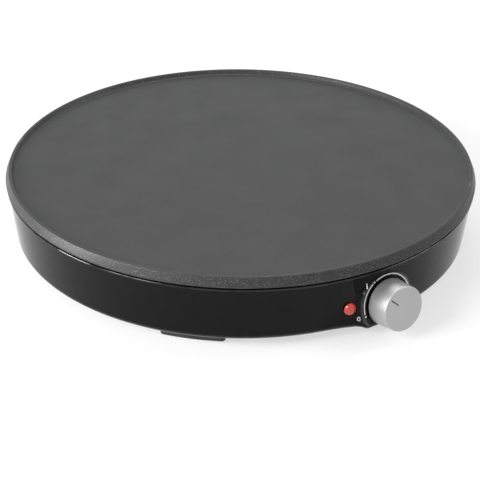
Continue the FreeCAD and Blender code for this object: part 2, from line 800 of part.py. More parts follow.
def gland_hole(body):
    """The round hole for the cord gland, with a flat for the gland's flange."""
    hole = radial_sketch(body, "GlandHoleSketch", "180", "boss_reach", "gland_height")
    ring_shape(hole, "0", "0", "gland_radius + 0.1")
    extrude(body, "Pocket", "GlandHole", hole, "20")
    flat = radial_sketch(body, "GlandFlatSketch", "180", "boss_reach", "gland_height")
    ring_shape(flat, "0", "0", "gland_flange_radius + 0.2")
    extrude(body, "Pocket", "GlandFlat", flat, "boss_reach - %s + 0.6" % GLAND_SEAT)
    doc.recompute()


def make_base_cover():
    """The moulded floor: a disc with vent slots, stiffening ribs and holes for screws and foot pegs."""
    body = make_body("base_cover")
    disc(body, "Floor", "0", "0", COVER_RADIUS, COVER_UNDER, "ledge_height")
    revolve(body, "Revolution", "Rib", [
        ("cover_rib_circle", "ledge_height - 0.5"),
        ("cover_rib_circle + cover_rib_width", "ledge_height - 0.5"),
        ("cover_rib_circle + cover_rib_width", "ledge_height + cover_rib_height"),
        ("cover_rib_circle", "ledge_height + cover_rib_height"),
    ])
    for name, count, circle, length in (
        ("Outer", "slot_count", "slot_circle", "slot_length"),
        ("Inner", "inner_slot_count", "inner_slot_circle", "slot_length"),
    ):
        sketch = new_sketch(body, name + "SlotSketch", lift=COVER_UNDER)
        start = circle + " * cos(7.5)"
        side = circle + " * sin(7.5)"
        outline(sketch, [
            (start, side + " - slot_width / 2", "slot_width * 0.45"),
            (start + " + " + length, side + " - slot_width / 2", "slot_width * 0.45"),
            (start + " + " + length, side + " + slot_width / 2", "slot_width * 0.45"),
            (start, side + " + slot_width / 2", "slot_width * 0.45"),
        ])
        slot = extrude(body, "Pocket", name + "Slot", sketch, "cover_thickness", True)
        around(body, name + "Slots", [slot], count)
    plate_hole = disc(body, "PlateHole", "0", "lug_circle", "plate_screw_radius + screw_clearance",
                      COVER_UNDER, "ledge_height", cut=True)
    around(body, "PlateHoles", [plate_hole], "lug_count")
    post_hole = disc(body, "PostHole", "post_circle", "0",
                     "screw_radius + screw_clearance", COVER_UNDER, "ledge_height", cut=True)
    around(body, "PostHoles", [post_hole], "post_count")
    for i, side in enumerate(("foot_azimuth - foot_peg_angle", "foot_azimuth + foot_peg_angle")):
        for corner in range(4):
            angle = "(%d - 90 + (%s))" % (90 * corner, side) if corner % 2 == 0 else \
                    "(%d - 90 - (%s))" % (90 * (corner + 1), side)
            disc(body, "PegHole%d%d" % (i, corner), "foot_peg_circle * cos(%s)" % angle,
                 "foot_peg_circle * sin(%s)" % angle, "foot_peg_radius + 0.1", COVER_UNDER,
                 "ledge_height", cut=True)
    add_clamp_seat(body)
    return body


def add_clamp_seat(body):
    """The seat that raises the cord to the height of the gland, with holes for the clamp's screws."""
    top = "ledge_height + clamp_seat"
    block(body, "ClampSeat", "-clamp_width / 2", "clamp_width / 2", "clamp_circle - clamp_depth / 2",
          "clamp_circle + clamp_depth / 2", "ledge_height - 0.5", top)
    for name, side in (("Left", "-"), ("Right", "")):
        disc(body, "SeatHole" + name, side + "clamp_screw_pitch / 2", "clamp_circle", "screw_radius",
             top + " - clamp_screw_bite - 0.5", top, cut=True)


FEET = {
    "front_right": "foot_azimuth",
    "front_left": "-foot_azimuth",
    "rear_right": "180 - foot_azimuth",
    "rear_left": "180 + foot_azimuth",
}


def make_foot(name, azimuth):
    """A wide curved foot block with two pegs, hollowed below for its rubber pad."""
    body = make_body("foot_" + name)
    inner = "foot_outer_radius - foot_depth"
    sector = revolve(body, "Revolution", "Sector", [
        (inner, "foot_clear"),
        ("foot_outer_radius - 0.6", "foot_clear"),
        ("foot_outer_radius", COVER_UNDER),
        (inner, COVER_UNDER),
    ], angle="foot_angle")
    ends = dress(body, "Fillet", "Corners", sector, lambda p: near(abs(math.degrees(math.atan2(p.y, p.x))),
                                                                  val("foot_angle / 2"), 0.02)
                 and (near(math.hypot(p.x, p.y), val(inner), 0.7)
                      or near(math.hypot(p.x, p.y), val("foot_outer_radius"), 0.7)), "foot_round")
    pocket = revolve(body, "Groove", "PadPocket", [
        (inner + " + pad_margin", "0"),
        ("foot_outer_radius - pad_margin", "0"),
        ("foot_outer_radius - pad_margin", "foot_clear + pad_sunk"),
        (inner + " + pad_margin", "foot_clear + pad_sunk"),
    ], angle="foot_angle - 2.4")
    for side in ("-", ""):
        disc(body, "Peg" + ("Left" if side else "Right"), "foot_peg_circle * cos(foot_peg_angle)",
             side + "foot_peg_circle * sin(foot_peg_angle)", "foot_peg_radius", COVER_UNDER + " - 0.5",
             "ledge_height - 0.2")
    turn(body, azimuth + " - 90")
    return body


def make_foot_pad(name, azimuth):
    """A rubber pad in the foot's pocket, standing on the table."""
    body = make_body("foot_pad_" + name)
    inner = "foot_outer_radius - foot_depth"
    pad = revolve(body, "Revolution", "Pad", [
        (inner + " + pad_margin + 0.05", "0"),
        ("foot_outer_radius - pad_margin - 0.05", "0"),
        ("foot_outer_radius - pad_margin - 0.05", "foot_clear + pad_sunk"),
        (inner + " + pad_margin + 0.05", "foot_clear + pad_sunk"),
    ], angle="foot_angle - 2.5")
    dress(body, "Chamfer", "PadEdge", pad, lambda p: near(p.z, 0), "0.4")
    turn(body, azimuth + " - 90")
    return body


# Knob, in the knob's frame: Z outwards, zero at the boss face.

def make_knob_cap():
    """A spun cap: slightly tapered side, chamfered face edge and an engraved pointer."""
    body = make_body("knob_cap")
    face = "knob_gap + knob_length"
    revolve(body, "Revolution", "Cup", [
        ("knob_base_radius - cap_wall", "knob_gap"),
        ("knob_base_radius", "knob_gap", "0.3"),
        ("knob_face_radius", face, "knob_chamfer"),
        ("0", face),
        ("0", face + " - cap_face_wall"),
        ("knob_face_radius - cap_wall", face + " - cap_face_wall"),
    ])
    pointer = new_sketch(body, "PointerSketch", lift=face + " - pointer_depth")
    outline(pointer, [
        ("-pointer_width / 2", "pointer_start"),
        ("pointer_width / 2", "pointer_start"),
        ("pointer_width / 2", "pointer_start + pointer_length"),
        ("-pointer_width / 2", "pointer_start + pointer_length"),
    ])
    pointer.AttachmentOffset = FreeCAD.Placement(V(0, 0, 0), FreeCAD.Rotation(V(0, 0, 1), 45))
    pointer.setExpression("AttachmentOffset.Base.z", bound(face + " - pointer_depth"))
    pointer.setExpression("AttachmentOffset.Rotation.Angle", bound("pointer_angle"))
    extrude(body, "Pocket", "Pointer", pointer, "pointer_depth + 0.5", True)
    on_knob_axis(body)
    return body


def make_knob_hub():
    """The moulded core: a disc under the cap, a D-bored stem and ribs out to the skirt."""
    body = make_body("knob_hub")
    face = "knob_gap + knob_length - cap_face_wall"
    skirt = "(knob_base_radius - cap_wall - 0.02)"
    top_skirt = "(knob_face_radius - cap_wall - 0.02)"
    revolve(body, "Revolution", "Core", [
        ("0", "knob_gap + 0.2"),
        ("hub_stem_radius", "knob_gap + 0.2"),
        ("hub_stem_radius", face + " - hub_disc"),
        (top_skirt + " - hub_skirt", face + " - hub_disc"),
        (skirt + " - hub_skirt", "knob_gap + 0.2"),
        (skirt, "knob_gap + 0.2"),
        (top_skirt, face),
        ("0", face),
    ])
    rib = block(body, "HubRib", "-hub_rib_width / 2", "hub_rib_width / 2", "hub_stem_radius - 0.5",
                "knob_face_radius - cap_wall - hub_skirt / 2", "knob_gap + 2", face + " - hub_disc + 0.5")
    around(body, "HubRibs", [rib], "hub_rib_count")
    bore = new_sketch(body, "BoreSketch", lift="knob_gap")
    d_shape(bore, "shaft_radius + shaft_fit", "shaft_radius - shaft_flat + spring_thickness + 2 * shaft_fit")
    extrude(body, "Pocket", "Bore", bore, "shaft_end + 0.3 - knob_gap", True)
    on_knob_axis(body)
    return body


def d_shape(sketch, radius, flat):
    """A circle cut by a flat on its upper side."""
    size = val(radius)
    height = val(flat)
    half = math.acos(height / size)
    circle = Part.Circle(V(0, 0, 0), V(0, 0, 1), size)
    start = math.pi / 2 + half
    arc = sketch.addGeometry(Part.ArcOfCircle(circle, start, start + 2 * math.pi - 2 * half), False)
    line = sketch.addGeometry(Part.LineSegment(
        V(size * math.sin(half), height, 0), V(-size * math.sin(half), height, 0)), False)
    sketch.addConstraint(Sketcher.Constraint("Coincident", arc, 3, -1, 1))
    sketch.addConstraint(Sketcher.Constraint("Coincident", arc, 1, line, 2))
    sketch.addConstraint(Sketcher.Constraint("Coincident", arc, 2, line, 1))
    sketch.addConstraint(Sketcher.Constraint("Horizontal", line))
    hold(sketch, "Radius", arc, radius)
    hold(sketch, "DistanceY", -1, 1, line, 1, flat)


def make_knob_spring():
    """A leaf between the shaft's flat and the bore, which keeps the knob on."""
    body = make_body("knob_spring")
    seat = "shaft_radius - shaft_flat + shaft_fit"
    block(body, "Leaf", "-spring_width / 2", "spring_width / 2", seat, seat + " + spring_thickness",
          "shaft_end - spring_length", "shaft_end")
    on_knob_axis(body)
    return body


def make_control_shaft():
    """The spindle: a D-shaped end for the knob, a collar behind the bush and a rounded tip."""
    body = make_body("control_shaft")
    bush_back = "-(bracket_back + bracket_thickness + bush_flange)"
    inner = "-shaft_inner_end"
    tip = "-%s + 0.15" % stack_depth(1, 0)
    revolve(body, "Revolution", "Spindle", [
        ("0", tip),
        ("shaft_tip_radius", tip),
        ("shaft_tip_radius", inner),
        ("shaft_collar_radius", inner),
        ("shaft_collar_radius", bush_back + " - shaft_collar_gap"),
        ("shaft_radius", bush_back + " - shaft_collar_gap"),
        ("shaft_radius", "shaft_end", "0.4"),
        ("0", "shaft_end"),
    ])
    block(body, "Flat", "-shaft_radius - 1", "shaft_radius + 1", "shaft_radius - shaft_flat",
          "shaft_radius + 1", "knob_gap", "shaft_end + 1", cut=True)
    on_knob_axis(body)
    return body


# Thermostat, in the knob's frame.

def make_thermostat_bracket():
    """A bent steel bracket: an upright plate for the bush and a foot screwed under the cooking plate."""
    thick = val("bracket_thickness")
    wide = val("bracket_width")
    drop = val("bracket_drop")
    front = -val("bracket_back")
    upright_top = val(BRACKET_TOP)
    plate = Part.makeBox(wide, upright_top + drop, thick, V(-wide / 2, -drop, front - thick))
    hole = Part.makeCylinder(val("bush_radius") + 0.1, thick + 2, V(0, 0, front - thick - 1))
    plate = plate.cut(hole)
    frame = knob_frame()
    plate.Placement = frame
    heel = frame.multVec(V(0, upright_top, front - thick))
    under = val(PLATE_UNDER)
    neck_low = heel.z - 3
    neck = Part.makeBox(wide, thick, under - neck_low, V(-wide / 2, heel.y - 0.6, neck_low))
    foot = Part.makeBox(wide, val("bracket_foot"), thick, V(-wide / 2, heel.y - 0.6, under - thick))
    shape = plate.fuse([neck, foot]).removeSplitter()
    holes = [Part.makeCylinder(val("screw_radius + screw_clearance"), thick + 2, V(x, y, under - thick - 1))
             for x, y in bracket_screw_places()]
    bracket = doc.addObject("Part::Feature", "thermostat_bracket")
    bracket.Label = "thermostat_bracket"
    bracket.Shape = shape.cut(holes)
    bracket.Placement = FreeCAD.Placement()
    return bracket


def knob_frame():
    """The placement of the knob's frame in the part's own frame."""
    turned = FreeCAD.Rotation(V(1, 0, 0), 90 - val("knob_tilt"))
    return FreeCAD.Placement(V(0, -val("boss_reach"), val("knob_height")), turned)


def bracket_screw_places():
    return [(side * val(BRACKET_SCREW_X), val(BRACKET_SCREW_Y)) for side in (-1, 1)]


def make_bracket_screws():
    """Two screws that hold the bracket's foot to the plate."""
    under = val(PLATE_UNDER) - val("bracket_thickness")
    solids = []
    for x, y in bracket_screw_places():
        place = V(x, y, under)
        head = Part.makeCylinder(val("screw_head_radius"), val("screw_head_height"), place, V(0, 0, -1))
        length = val("bracket_thickness + bracket_screw_bite")
        shank = Part.makeCylinder(val("screw_radius") - 0.05, length, place)
        solids.append(head.fuse(shank))
    screws = doc.addObject("Part::Feature", "bracket_screws")
    screws.Label = "bracket_screws"
    screws.Shape = Part.makeCompound(solids)
    screws.Placement = FreeCAD.Placement()
    return screws


def make_thermostat_bush():
    """The threaded bush that carries the spindle, with its flange behind the bracket."""
    body = make_body("thermostat_bush")
    back = "-(bracket_back + bracket_thickness)"
    revolve(body, "Revolution", "Sleeve", [
        ("shaft_radius + shaft_fit", back + " - bush_flange"),
        ("bush_flange_radius", back + " - bush_flange"),
        ("bush_flange_radius", back),
        ("bush_radius", back),
        ("bush_radius", "-bush_front", "0.4"),
        ("shaft_radius + shaft_fit", "-bush_front"),
    ])
    on_knob_axis(body)
    return body


def make_bush_nut():
    """The hexagon nut that clamps the bush to the bracket."""
    body = make_body("bush_nut")
    sketch = new_sketch(body, "HexSketch", lift="-bracket_back")
    corner = "nut_flats / 2 / cos(30)"
    outline(sketch, [(corner + " * cos(%d)" % (60 * i), corner + " * sin(%d)" % (60 * i)) for i in range(6)])
    extrude(body, "Pad", "Hex", sketch, "nut_thickness")
    disc(body, "NutBore", "0", "0", "bush_radius + 0.05", "-bracket_back", "-bracket_back + nut_thickness",
         cut=True)
    on_knob_axis(body)
    return body


def make_thermostat_frame():
    """The steel strip behind the bush that carries the contact stack."""
    body = make_body("thermostat_frame")
    front = "-(bracket_back + bracket_thickness + bush_flange)"
    block(body, "Strip", "-frame_width / 2", "frame_width / 2", "-frame_drop", "frame_rise",
          "-" + STACK_BACK, front)
    disc(body, "SpindleHole", "0", "0", "shaft_collar_radius + 0.5", "-" + STACK_BACK, front, cut=True)
    disc(body, "RivetHole", "0", "stack_rise", "rivet_radius + 0.05", "-" + STACK_BACK, front, cut=True)
    on_knob_axis(body)
    return body


def stack_depth(rings, leaves):
    """Depth behind the boss face after so many ceramic rings and leaves."""
    return "(%s + %d * ring_thickness + %d * leaf_thickness)" % (STACK_BACK, rings, leaves)


def make_thermostat_insulators():
    """Three ceramic rings on the rivet."""
    body = make_body("thermostat_insulators")
    for i in range(3):
        near_side = "-" + stack_depth(i, i)
        far_side = "-" + stack_depth(i + 1, i)
        disc(body, "Ring%d" % i, "0", "stack_rise", "ring_radius", far_side, near_side)
    disc(body, "RingBore", "0", "stack_rise", "rivet_radius + 0.05",
         "-" + stack_depth(3, 2), "-" + STACK_BACK, cut=True)
    on_knob_axis(body)
    return body


def make_contact_leaves():
    """Two spring leaves with silver contacts that face each other, each with a terminal tail."""
    body = make_body("contact_leaves")
    for i in range(2):
        near_side = "-" + stack_depth(i + 1, i)
        far_side = "-" + stack_depth(i + 1, i + 1)
        low = "stack_rise - ring_radius - leaf_drop + %d" % (i * 2)
        block(body, "Leaf%d" % i, "-leaf_width / 2", "leaf_width / 2", low, "stack_rise + 3.5", far_side,
              near_side)
        left, right = ("-leaf_tail", "0") if i else ("0", "leaf_tail")
        block(body, "Tail%d" % i, left, right, "stack_rise - 2.2", "stack_rise + 2.2", far_side, near_side)
    middle = "(ring_thickness / 2)"
    disc(body, "NearContact", "0", "stack_rise - ring_radius - leaf_drop + 4", "1.8",
         "-%s - %s + 0.1" % (stack_depth(1, 1), middle), "-" + stack_depth(1, 1))
    disc(body, "FarContact", "0", "stack_rise - ring_radius - leaf_drop + 4", "1.8", "-" + stack_depth(2, 1),
         "-%s + %s - 0.1" % (stack_depth(2, 1), middle))
    disc(body, "LeafBore", "0", "stack_rise", "rivet_radius + 0.05", "-" + stack_depth(3, 2),
         "-" + STACK_BACK, cut=True)
    on_knob_axis(body)
    return body


def make_bimetal_strip():
    """The bimetal strip behind the stack, which bends as the plate heats."""
    body = make_body("bimetal_strip")
    near_side = "-" + stack_depth(3, 2)
    far_side = near_side + " - bimetal_thickness"
    block(body, "Strip", "-leaf_width / 2", "leaf_width / 2", "stack_rise - ring_radius - leaf_drop",
          "stack_rise + 4", far_side, near_side)
    disc(body, "StripBore", "0", "stack_rise", "rivet_radius + 0.05", far_side, near_side, cut=True)
    on_knob_axis(body)
    return body


def make_thermostat_rivet():
    """The rivet through frame, ceramic rings, leaves and bimetal."""
    body = make_body("thermostat_rivet")
    back = "-%s - bimetal_thickness" % stack_depth(3, 2)
    front = "-(bracket_back + bracket_thickness + bush_flange)"
    disc(body, "Shank", "0", "stack_rise", "rivet_radius", back, front)
    disc(body, "HeadBack", "0", "stack_rise", "rivet_radius + 1.2", back + " - 1", back)
    disc(body, "HeadFront", "0", "stack_rise", "rivet_radius + 1.2", front, front + " + 1")
    on_knob_axis(body)
    return body


# Indicator, built along Z and laid along a radius of the housing.

def lens_frame():
    """The frame of the lens: Z outwards along its radius of the housing, zero at the lens's seat."""
    azimuth = -val("lens_azimuth")
    turned = FreeCAD.Rotation(V(0, 0, 1), azimuth)
    seat = turned.multVec(V(0, -val(LENS_SEAT), val("lens_height")))
    return FreeCAD.Placement(seat, turned.multiply(FreeCAD.Rotation(V(1, 0, 0), 90)))


def place_lens(part):
    part.Placement = lens_frame()


def make_indicator_lens():
    """A domed lens with a flange and a hollow stem."""
    body = make_body("indicator_lens")
    top = "lens_flange + lens_dome"
    revolve(body, "Revolution", "Stem", [
        ("0", "-1"),
        ("lamp_radius + 0.2", "-1"),
        ("lamp_radius + 0.2", "-lens_stem"),
        ("lens_stem_radius", "-lens_stem"),
        ("lens_stem_radius", "0"),
        ("lens_radius", "0"),
        ("lens_radius", "lens_flange", "0.2"),
        ("lens_radius * 0.86", top + " - 0.5", "0.8"),
        ("lens_radius * 0.45", top, "1.5"),
        ("0", top),
    ])
    place_lens(body)
    return body


def make_indicator_lamp():
    """The glow lamp inside the lens's stem."""
    body = make_body("indicator_lamp")
    revolve(body, "Revolution", "Bulb", [
        ("0", "-1.2 - lamp_length"),
        ("lamp_radius", "-1.2 - lamp_length"),
        ("lamp_radius", "-1.2", "1.2"),
        ("0", "-1.2"),
    ])
    place_lens(body)
    return body


def make_lamp_holder():
    """A push-on collar that grips the lens's stem behind the wall."""
    body = make_body("lamp_holder")
    front = "-wall_thickness - 2"
    revolve(body, "Revolution", "Collar", [
        ("lens_stem_radius + 0.02", front + " - holder_length + 3"),
        ("lamp_radius + 0.05", front + " - holder_length + 3"),
        ("lamp_radius + 0.05", front + " - holder_length"),
        ("lens_stem_radius + holder_wall", front + " - holder_length"),
        ("lens_stem_radius + holder_wall", front),
        ("lens_stem_radius + 0.02", front),
    ])
    place_lens(body)
    return body


# Cord entry and terminals.

def make_cord_gland():
    """A flanged bush in the rear wall with a bore for the power cord."""
    body = make_body("cord_gland")
    revolve(body, "Revolution", "Bush", [
        ("gland_bore_radius", "-wall_thickness - gland_inside"),
        ("gland_radius", "-wall_thickness - gland_inside"),
        ("gland_radius", "0"),
        ("gland_flange_radius", "0"),
        ("gland_flange_radius - 0.6", "gland_flange", "0.5"),
        ("gland_bore_radius", "gland_flange", "0.8"),
    ])
    seat = V(0, val(GLAND_SEAT) - 0.6, val("gland_height"))
    body.Placement = FreeCAD.Placement(seat, FreeCAD.Rotation(V(1, 0, 0), -90))
    return body


def make_cord_clamp():
    """The bar that presses the cord onto its seat, arched over the cord."""
    body = make_body("cord_clamp")
    low = "ledge_height + clamp_seat"
    block(body, "Bar", "-clamp_width / 2", "clamp_width / 2", "clamp_circle - clamp_depth / 2",
          "clamp_circle + clamp_depth / 2", low, low + " + clamp_bar")
    arch = new_sketch(body, "ArchSketch", "XZ_Plane", "-clamp_circle - clamp_depth / 2 - 1")
    ring_shape(arch, "0", low, "clamp_arch")
    extrude(body, "Pocket", "Arch", arch, "clamp_depth + 2", True)
    for name, side in (("Left", "-"), ("Right", "")):
        disc(body, "ClampHole" + name, side + "clamp_screw_pitch / 2", "clamp_circle",
             "screw_radius + screw_clearance", low, low + " + clamp_bar", cut=True)
    return body


def screws_down(label, places, top, bite):
    """Screws that point down at fixed places."""
    body = make_body(label)
    for i, (x, y) in enumerate(places):
        disc(body, "Shank%d" % i, x, y, "screw_radius - 0.05", top + " - (%s)" % bite, top)
        disc(body, "Head%d" % i, x, y, "screw_head_radius - 0.6", top, top + " + screw_head_height")
        disc(body, "Drive%d" % i, x, y, "screw_drive_radius",
             top + " + screw_head_height - screw_drive_depth", top + " + screw_head_height", cut=True)
    return body


def make_terminal_block():
    """A three-way block with wire bores and screw wells."""
    body = make_body("terminal_block")
    top = "ledge_height + block_height"
    block(body, "Block", "-block_width / 2", "block_width / 2", "block_circle - block_depth / 2",
          "block_circle + block_depth / 2", "ledge_height", top)
    for i in (-1, 0, 1):
        x = "%d * block_pitch" % i
        wire = new_sketch(body, "WireSketch%d" % (i + 1), "XZ_Plane", "-block_circle - block_depth / 2 - 1")
        ring_shape(wire, x, "ledge_height + block_height / 2 - 1", "block_bore_radius")
        extrude(body, "Pocket", "WireBore%d" % (i + 1), wire, "block_depth + 2", True)
        disc(body, "Well%d" % (i + 1), x, "block_circle", "screw_head_radius - 0.5",
             "ledge_height + block_height / 2 + 1", top, cut=True)
    return body


def make_thermal_fuse():
    """The thermal cut-off with its two axial leads, against the underside of the plate."""
    body = make_body("thermal_fuse")
    revolve(body, "Revolution", "Fuse", [
        ("0", "-fuse_length / 2 - fuse_lead_length"),
        ("fuse_lead_radius", "-fuse_length / 2 - fuse_lead_length"),
        ("fuse_lead_radius", "-fuse_length / 2"),
        ("fuse_radius", "-fuse_length / 2", "0.4"),
        ("fuse_radius", "fuse_length / 2", "0.8"),
        ("fuse_lead_radius", "fuse_length / 2"),
        ("fuse_lead_radius", "fuse_length / 2 + fuse_lead_length"),
        ("0", "fuse_length / 2 + fuse_lead_length"),
    ])
    place = V(0, -val("fuse_circle"), val(PLATE_UNDER + " - fuse_radius - 0.05"))
    body.Placement = FreeCAD.Placement(place, FreeCAD.Rotation(V(1, 0, 0), 90))
    return body


def make_fuse_clip():
    """A folded strip round the fuse, screwed to the lug beside it."""
    body = make_body("fuse_clip")
    low = CLIP_UNDER
    inner = "(fuse_radius + 0.1)"
    sketch = new_sketch(body, "ClipSketch", "XZ_Plane", "fuse_circle - clip_width / 2")
    outline(sketch, [
        ("-%s - clip_thickness" % inner, low),
        (inner + " + clip_tab", low),
        (inner + " + clip_tab", low + " + clip_thickness"),
        ("-" + inner, low + " + clip_thickness"),
        ("-" + inner, PLATE_UNDER + " - 0.5"),
        ("-%s - clip_thickness" % inner, PLATE_UNDER + " - 0.5"),
    ])
    extrude(body, "Pad", "Clip", sketch, "clip_width")
    disc(body, "ClipHole", FUSE_LUG_X, "-fuse_circle", "screw_radius + screw_clearance", low,
         low + " + clip_thickness", cut=True)
    return body


def screw_up_at(label, x, y, low, bite):
    """One screw that points up at a place."""
    body = make_body(label)
    disc(body, "Head", x, y, "screw_head_radius - 0.4", low + " - screw_head_height", low)
    disc(body, "Shank", x, y, "screw_radius - 0.05", low, low + " + " + bite)
    return body


# Inner leads: straight runs joined by tangent arcs.

def lead_path(points):
    """A wire through points with each corner rounded as far as its two runs allow."""
    edges = []
    last = points[0]
    for i in range(1, len(points) - 1):
        into = points[i - 1] - points[i]
        out = points[i + 1] - points[i]
        reach = 0.45 * min(into.Length, out.Length)
        into.normalize()
        out.normalize()
        half = into.getAngle(out) / 2
        radius = reach * math.tan(half)
        first = points[i] + into * reach
        finish = points[i] + out * reach
        middle_way = (into + out).normalize()
        centre = points[i] + middle_way * (radius / math.sin(half))
        middle = centre - middle_way * radius
        edges.append(Part.LineSegment(last, first).toShape())
        edges.append(Part.Arc(first, middle, finish).toShape())
        last = finish
    edges.append(Part.LineSegment(last, points[-1]).toShape())
    return Part.Wire(edges)


def lead_solid(points, radius):
    """A round lead along a rounded path."""
    path = lead_path(points)
    way = points[1] - points[0]
    profile = Part.Wire(Part.Circle(points[0], way, radius).toShape())
    return path.makePipeShell([profile], True, False)


def make_leads(label, routes, radius):
    """One node of leads, each given as a list of points."""
    solids = [lead_solid(points, radius) for points in routes]
    leads = doc.addObject("Part::Feature", label)
    leads.Label = label
    leads.Shape = solids[0] if len(solids) == 1 else Part.makeCompound(solids)
    leads.Placement = FreeCAD.Placement()
    return leads


def lane_points(first, last, lane, height, step=20):
    """Points along the floor lane, by angle from +X."""
    count = max(1, round(abs(last - first) / step))
    angles = [math.radians(first + (last - first) * i / count) for i in range(count + 1)]
    return [V(lane * math.cos(a), lane * math.sin(a), height) for a in angles]


def tail_end(side):
    """The free end of a contact leaf's tail: -1 is the far leaf's, 1 the near leaf's."""
    index = 0 if side > 0 else 1
    depth = val(stack_depth(index + 1, index)) + val("leaf_thickness") / 2
    return knob_frame().multVec(V(side * (val("leaf_tail") + 0.05), val("stack_rise"), -depth))


def wire_bore(way):
    """Points inside and just outside one bore of the terminal block."""
    x = way * val("block_pitch")
    height = val("ledge_height + block_height / 2 - 1")
    face = val("block_circle - block_depth / 2")
    return [V(x, face + 6, height), V(x, face - 6, height)]


def make_all_leads(ends):
    """The live, neutral, switched, return and earth leads and the two lamp leads."""
    radius = val("lead_radius")
    floor = val("ledge_height") + radius + 0.1
    above_shield = val(SHIELD_TOP) + radius + 1.2
    left = tail_end(-1)
    right = tail_end(1)
    lane = lane_points(115, 250, val("lead_lane"), floor)
    live = wire_bore(-1) + [V(-26, val("block_circle") - 12, floor)] + lane + [
        V(left.x - 16, left.y + 10, floor + 6), V(left.x - 7, left.y, left.z), left]
    make_leads("live_lead", [live], radius)
    tab = min(ends, key=lambda p: p.x)
    neutral = wire_bore(1) + [V(-tab.x, tab.y + 4, 16), V(-tab.x, tab.y + 0.45, 16)]
    make_leads("neutral_lead", [neutral], radius)
    fuse_high = val(PLATE_UNDER + " - fuse_radius - 0.05")
    fuse_end = val("fuse_length / 2 + fuse_lead_length")
    fuse_y = -val("fuse_circle")
    switched = [right, V(right.x + 5, right.y, right.z), V(right.x + 8, right.y + 3, 38.6),
                V(14, right.y + 18, 38), V(8, right.y + 30, above_shield - 0.4),
                V(4, right.y + 47, above_shield), V(0, fuse_y - fuse_end - 9, 38),
                V(0, fuse_y - fuse_end - 1, fuse_high), V(0, fuse_y - fuse_end - 0.05, fuse_high)]
    make_leads("switched_lead", [switched], radius)
    drop_y = tab.y - val("tube_radius") - radius - 0.25
    back = [V(0, fuse_y + fuse_end + 0.05, fuse_high), V(0, fuse_y + fuse_end + 8, fuse_high),
            V(-6, 0, above_shield + 2), V(-13, 26, above_shield), V(-14, 56, above_shield),
            V(tab.x, drop_y - 12, above_shield), V(tab.x, drop_y, above_shield), V(tab.x, drop_y, 21),
            V(tab.x, tab.y - 2.5, 15), V(tab.x, tab.y - 0.45, 15)]
    make_leads("return_lead", [back], radius)
    tag_low = val("shield_height") - val("tag_thickness")
    tag_y = val("tag_circle")
    earth = wire_bore(0) + [V(0, tag_y + 15, 21), V(0, tag_y + 9, tag_low - radius),
                            V(0, tag_y + 5, tag_low - radius)]
    make_leads("earth_lead", [earth], radius)
    thin = val("lamp_lead_radius")
    lamp_floor = val("ledge_height") + thin + 0.1
    lamp_lane = val("lamp_lane")
    seat = lens_frame()
    depth = -1.25 - val("lamp_length")
    first = [seat.multVec(V(-0.9, 0, depth)), seat.multVec(V(-0.9, 0, depth - 4)),
             V(left.x - 4.5, left.y + 2, left.z - 7), V(left.x - 1.2, left.y, left.z - 1.6)]
    second = [seat.multVec(V(0.9, 0, depth)), seat.multVec(V(0.9, 0, depth - 4)),
              V(-12, -lamp_lane - 5, lamp_floor + 2)]
    pitch = val("block_pitch")
    block_y = val("block_circle")
    second += lane_points(280, 425, lamp_lane, lamp_floor) + [
        V(2 * pitch, block_y - 14, lamp_floor + 3), V(pitch + 3.3, block_y - 13, 13),
        V(pitch + 2.1, block_y - 10, 13.5)]
    make_leads("lamp_leads", [first, second], thin)


def make_earth_tag():
    """The tag of the earth lead, screwed under the shield."""
    body = make_body("earth_tag")
    low = "shield_height - tag_thickness"
    disc(body, "Eye", "0", "tag_circle", "tag_radius", low, "shield_height")
    block(body, "Tongue", "-2", "2", "tag_circle", "tag_circle + 9", low, "shield_height")
    disc(body, "EyeBore", "0", "tag_circle", "screw_radius + screw_clearance",
         low, "shield_height", cut=True)
    return body


# Assembly.

make_griddle_plate()
element, leg_ends = make_heating_element()
make_element_pins(leg_ends)
make_element_straps()
screws_up("strap_screws", STRAP_RADIUS, STRAP_TOP + " - strap_thickness - 0.1", "strap_thickness + 3",
          "strap_count", azimuth="45")
make_heat_shield()
make_shield_spacers()
screws_up("plate_screws", "lug_circle", COVER_UNDER,
          "%s - (%s) + plate_screw_bite - 1" % (SHIELD_TOP, COVER_UNDER),
          "lug_count", "plate_screw_radius", "plate_screw_head_radius", azimuth="90")
make_housing()
make_base_cover()
screws_up("base_screws", "post_circle", COVER_UNDER, "cover_thickness + base_screw_bite", "post_count")
for foot_name, foot_place in FEET.items():
    make_foot(foot_name, foot_place)
    make_foot_pad(foot_name, foot_place)
make_knob_cap()
make_knob_hub()
make_knob_spring()
make_control_shaft()
make_thermostat_bracket()
make_bracket_screws()
make_thermostat_bush()
make_bush_nut()
make_thermostat_frame()
make_thermostat_insulators()
make_contact_leaves()
make_bimetal_strip()
make_thermostat_rivet()
make_indicator_lens()
make_indicator_lamp()
make_lamp_holder()
make_cord_gland()
make_cord_clamp()
screws_down("clamp_screws",
            [("-clamp_screw_pitch / 2", "clamp_circle"), ("clamp_screw_pitch / 2", "clamp_circle")],
            "ledge_height + clamp_seat + clamp_bar", "clamp_bar + clamp_screw_bite")
make_terminal_block()
make_thermal_fuse()
make_fuse_clip()
screw_up_at("fuse_screw", FUSE_LUG_X, "-fuse_circle",
            CLIP_UNDER, "clip_thickness + 3")
make_earth_tag()
screw_up_at("earth_screw", "0", "tag_circle", "shield_height - tag_thickness", "tag_thickness + 3")
make_all_leads(leg_ends)

doc.recompute()

# Every object is sound before anything is written.

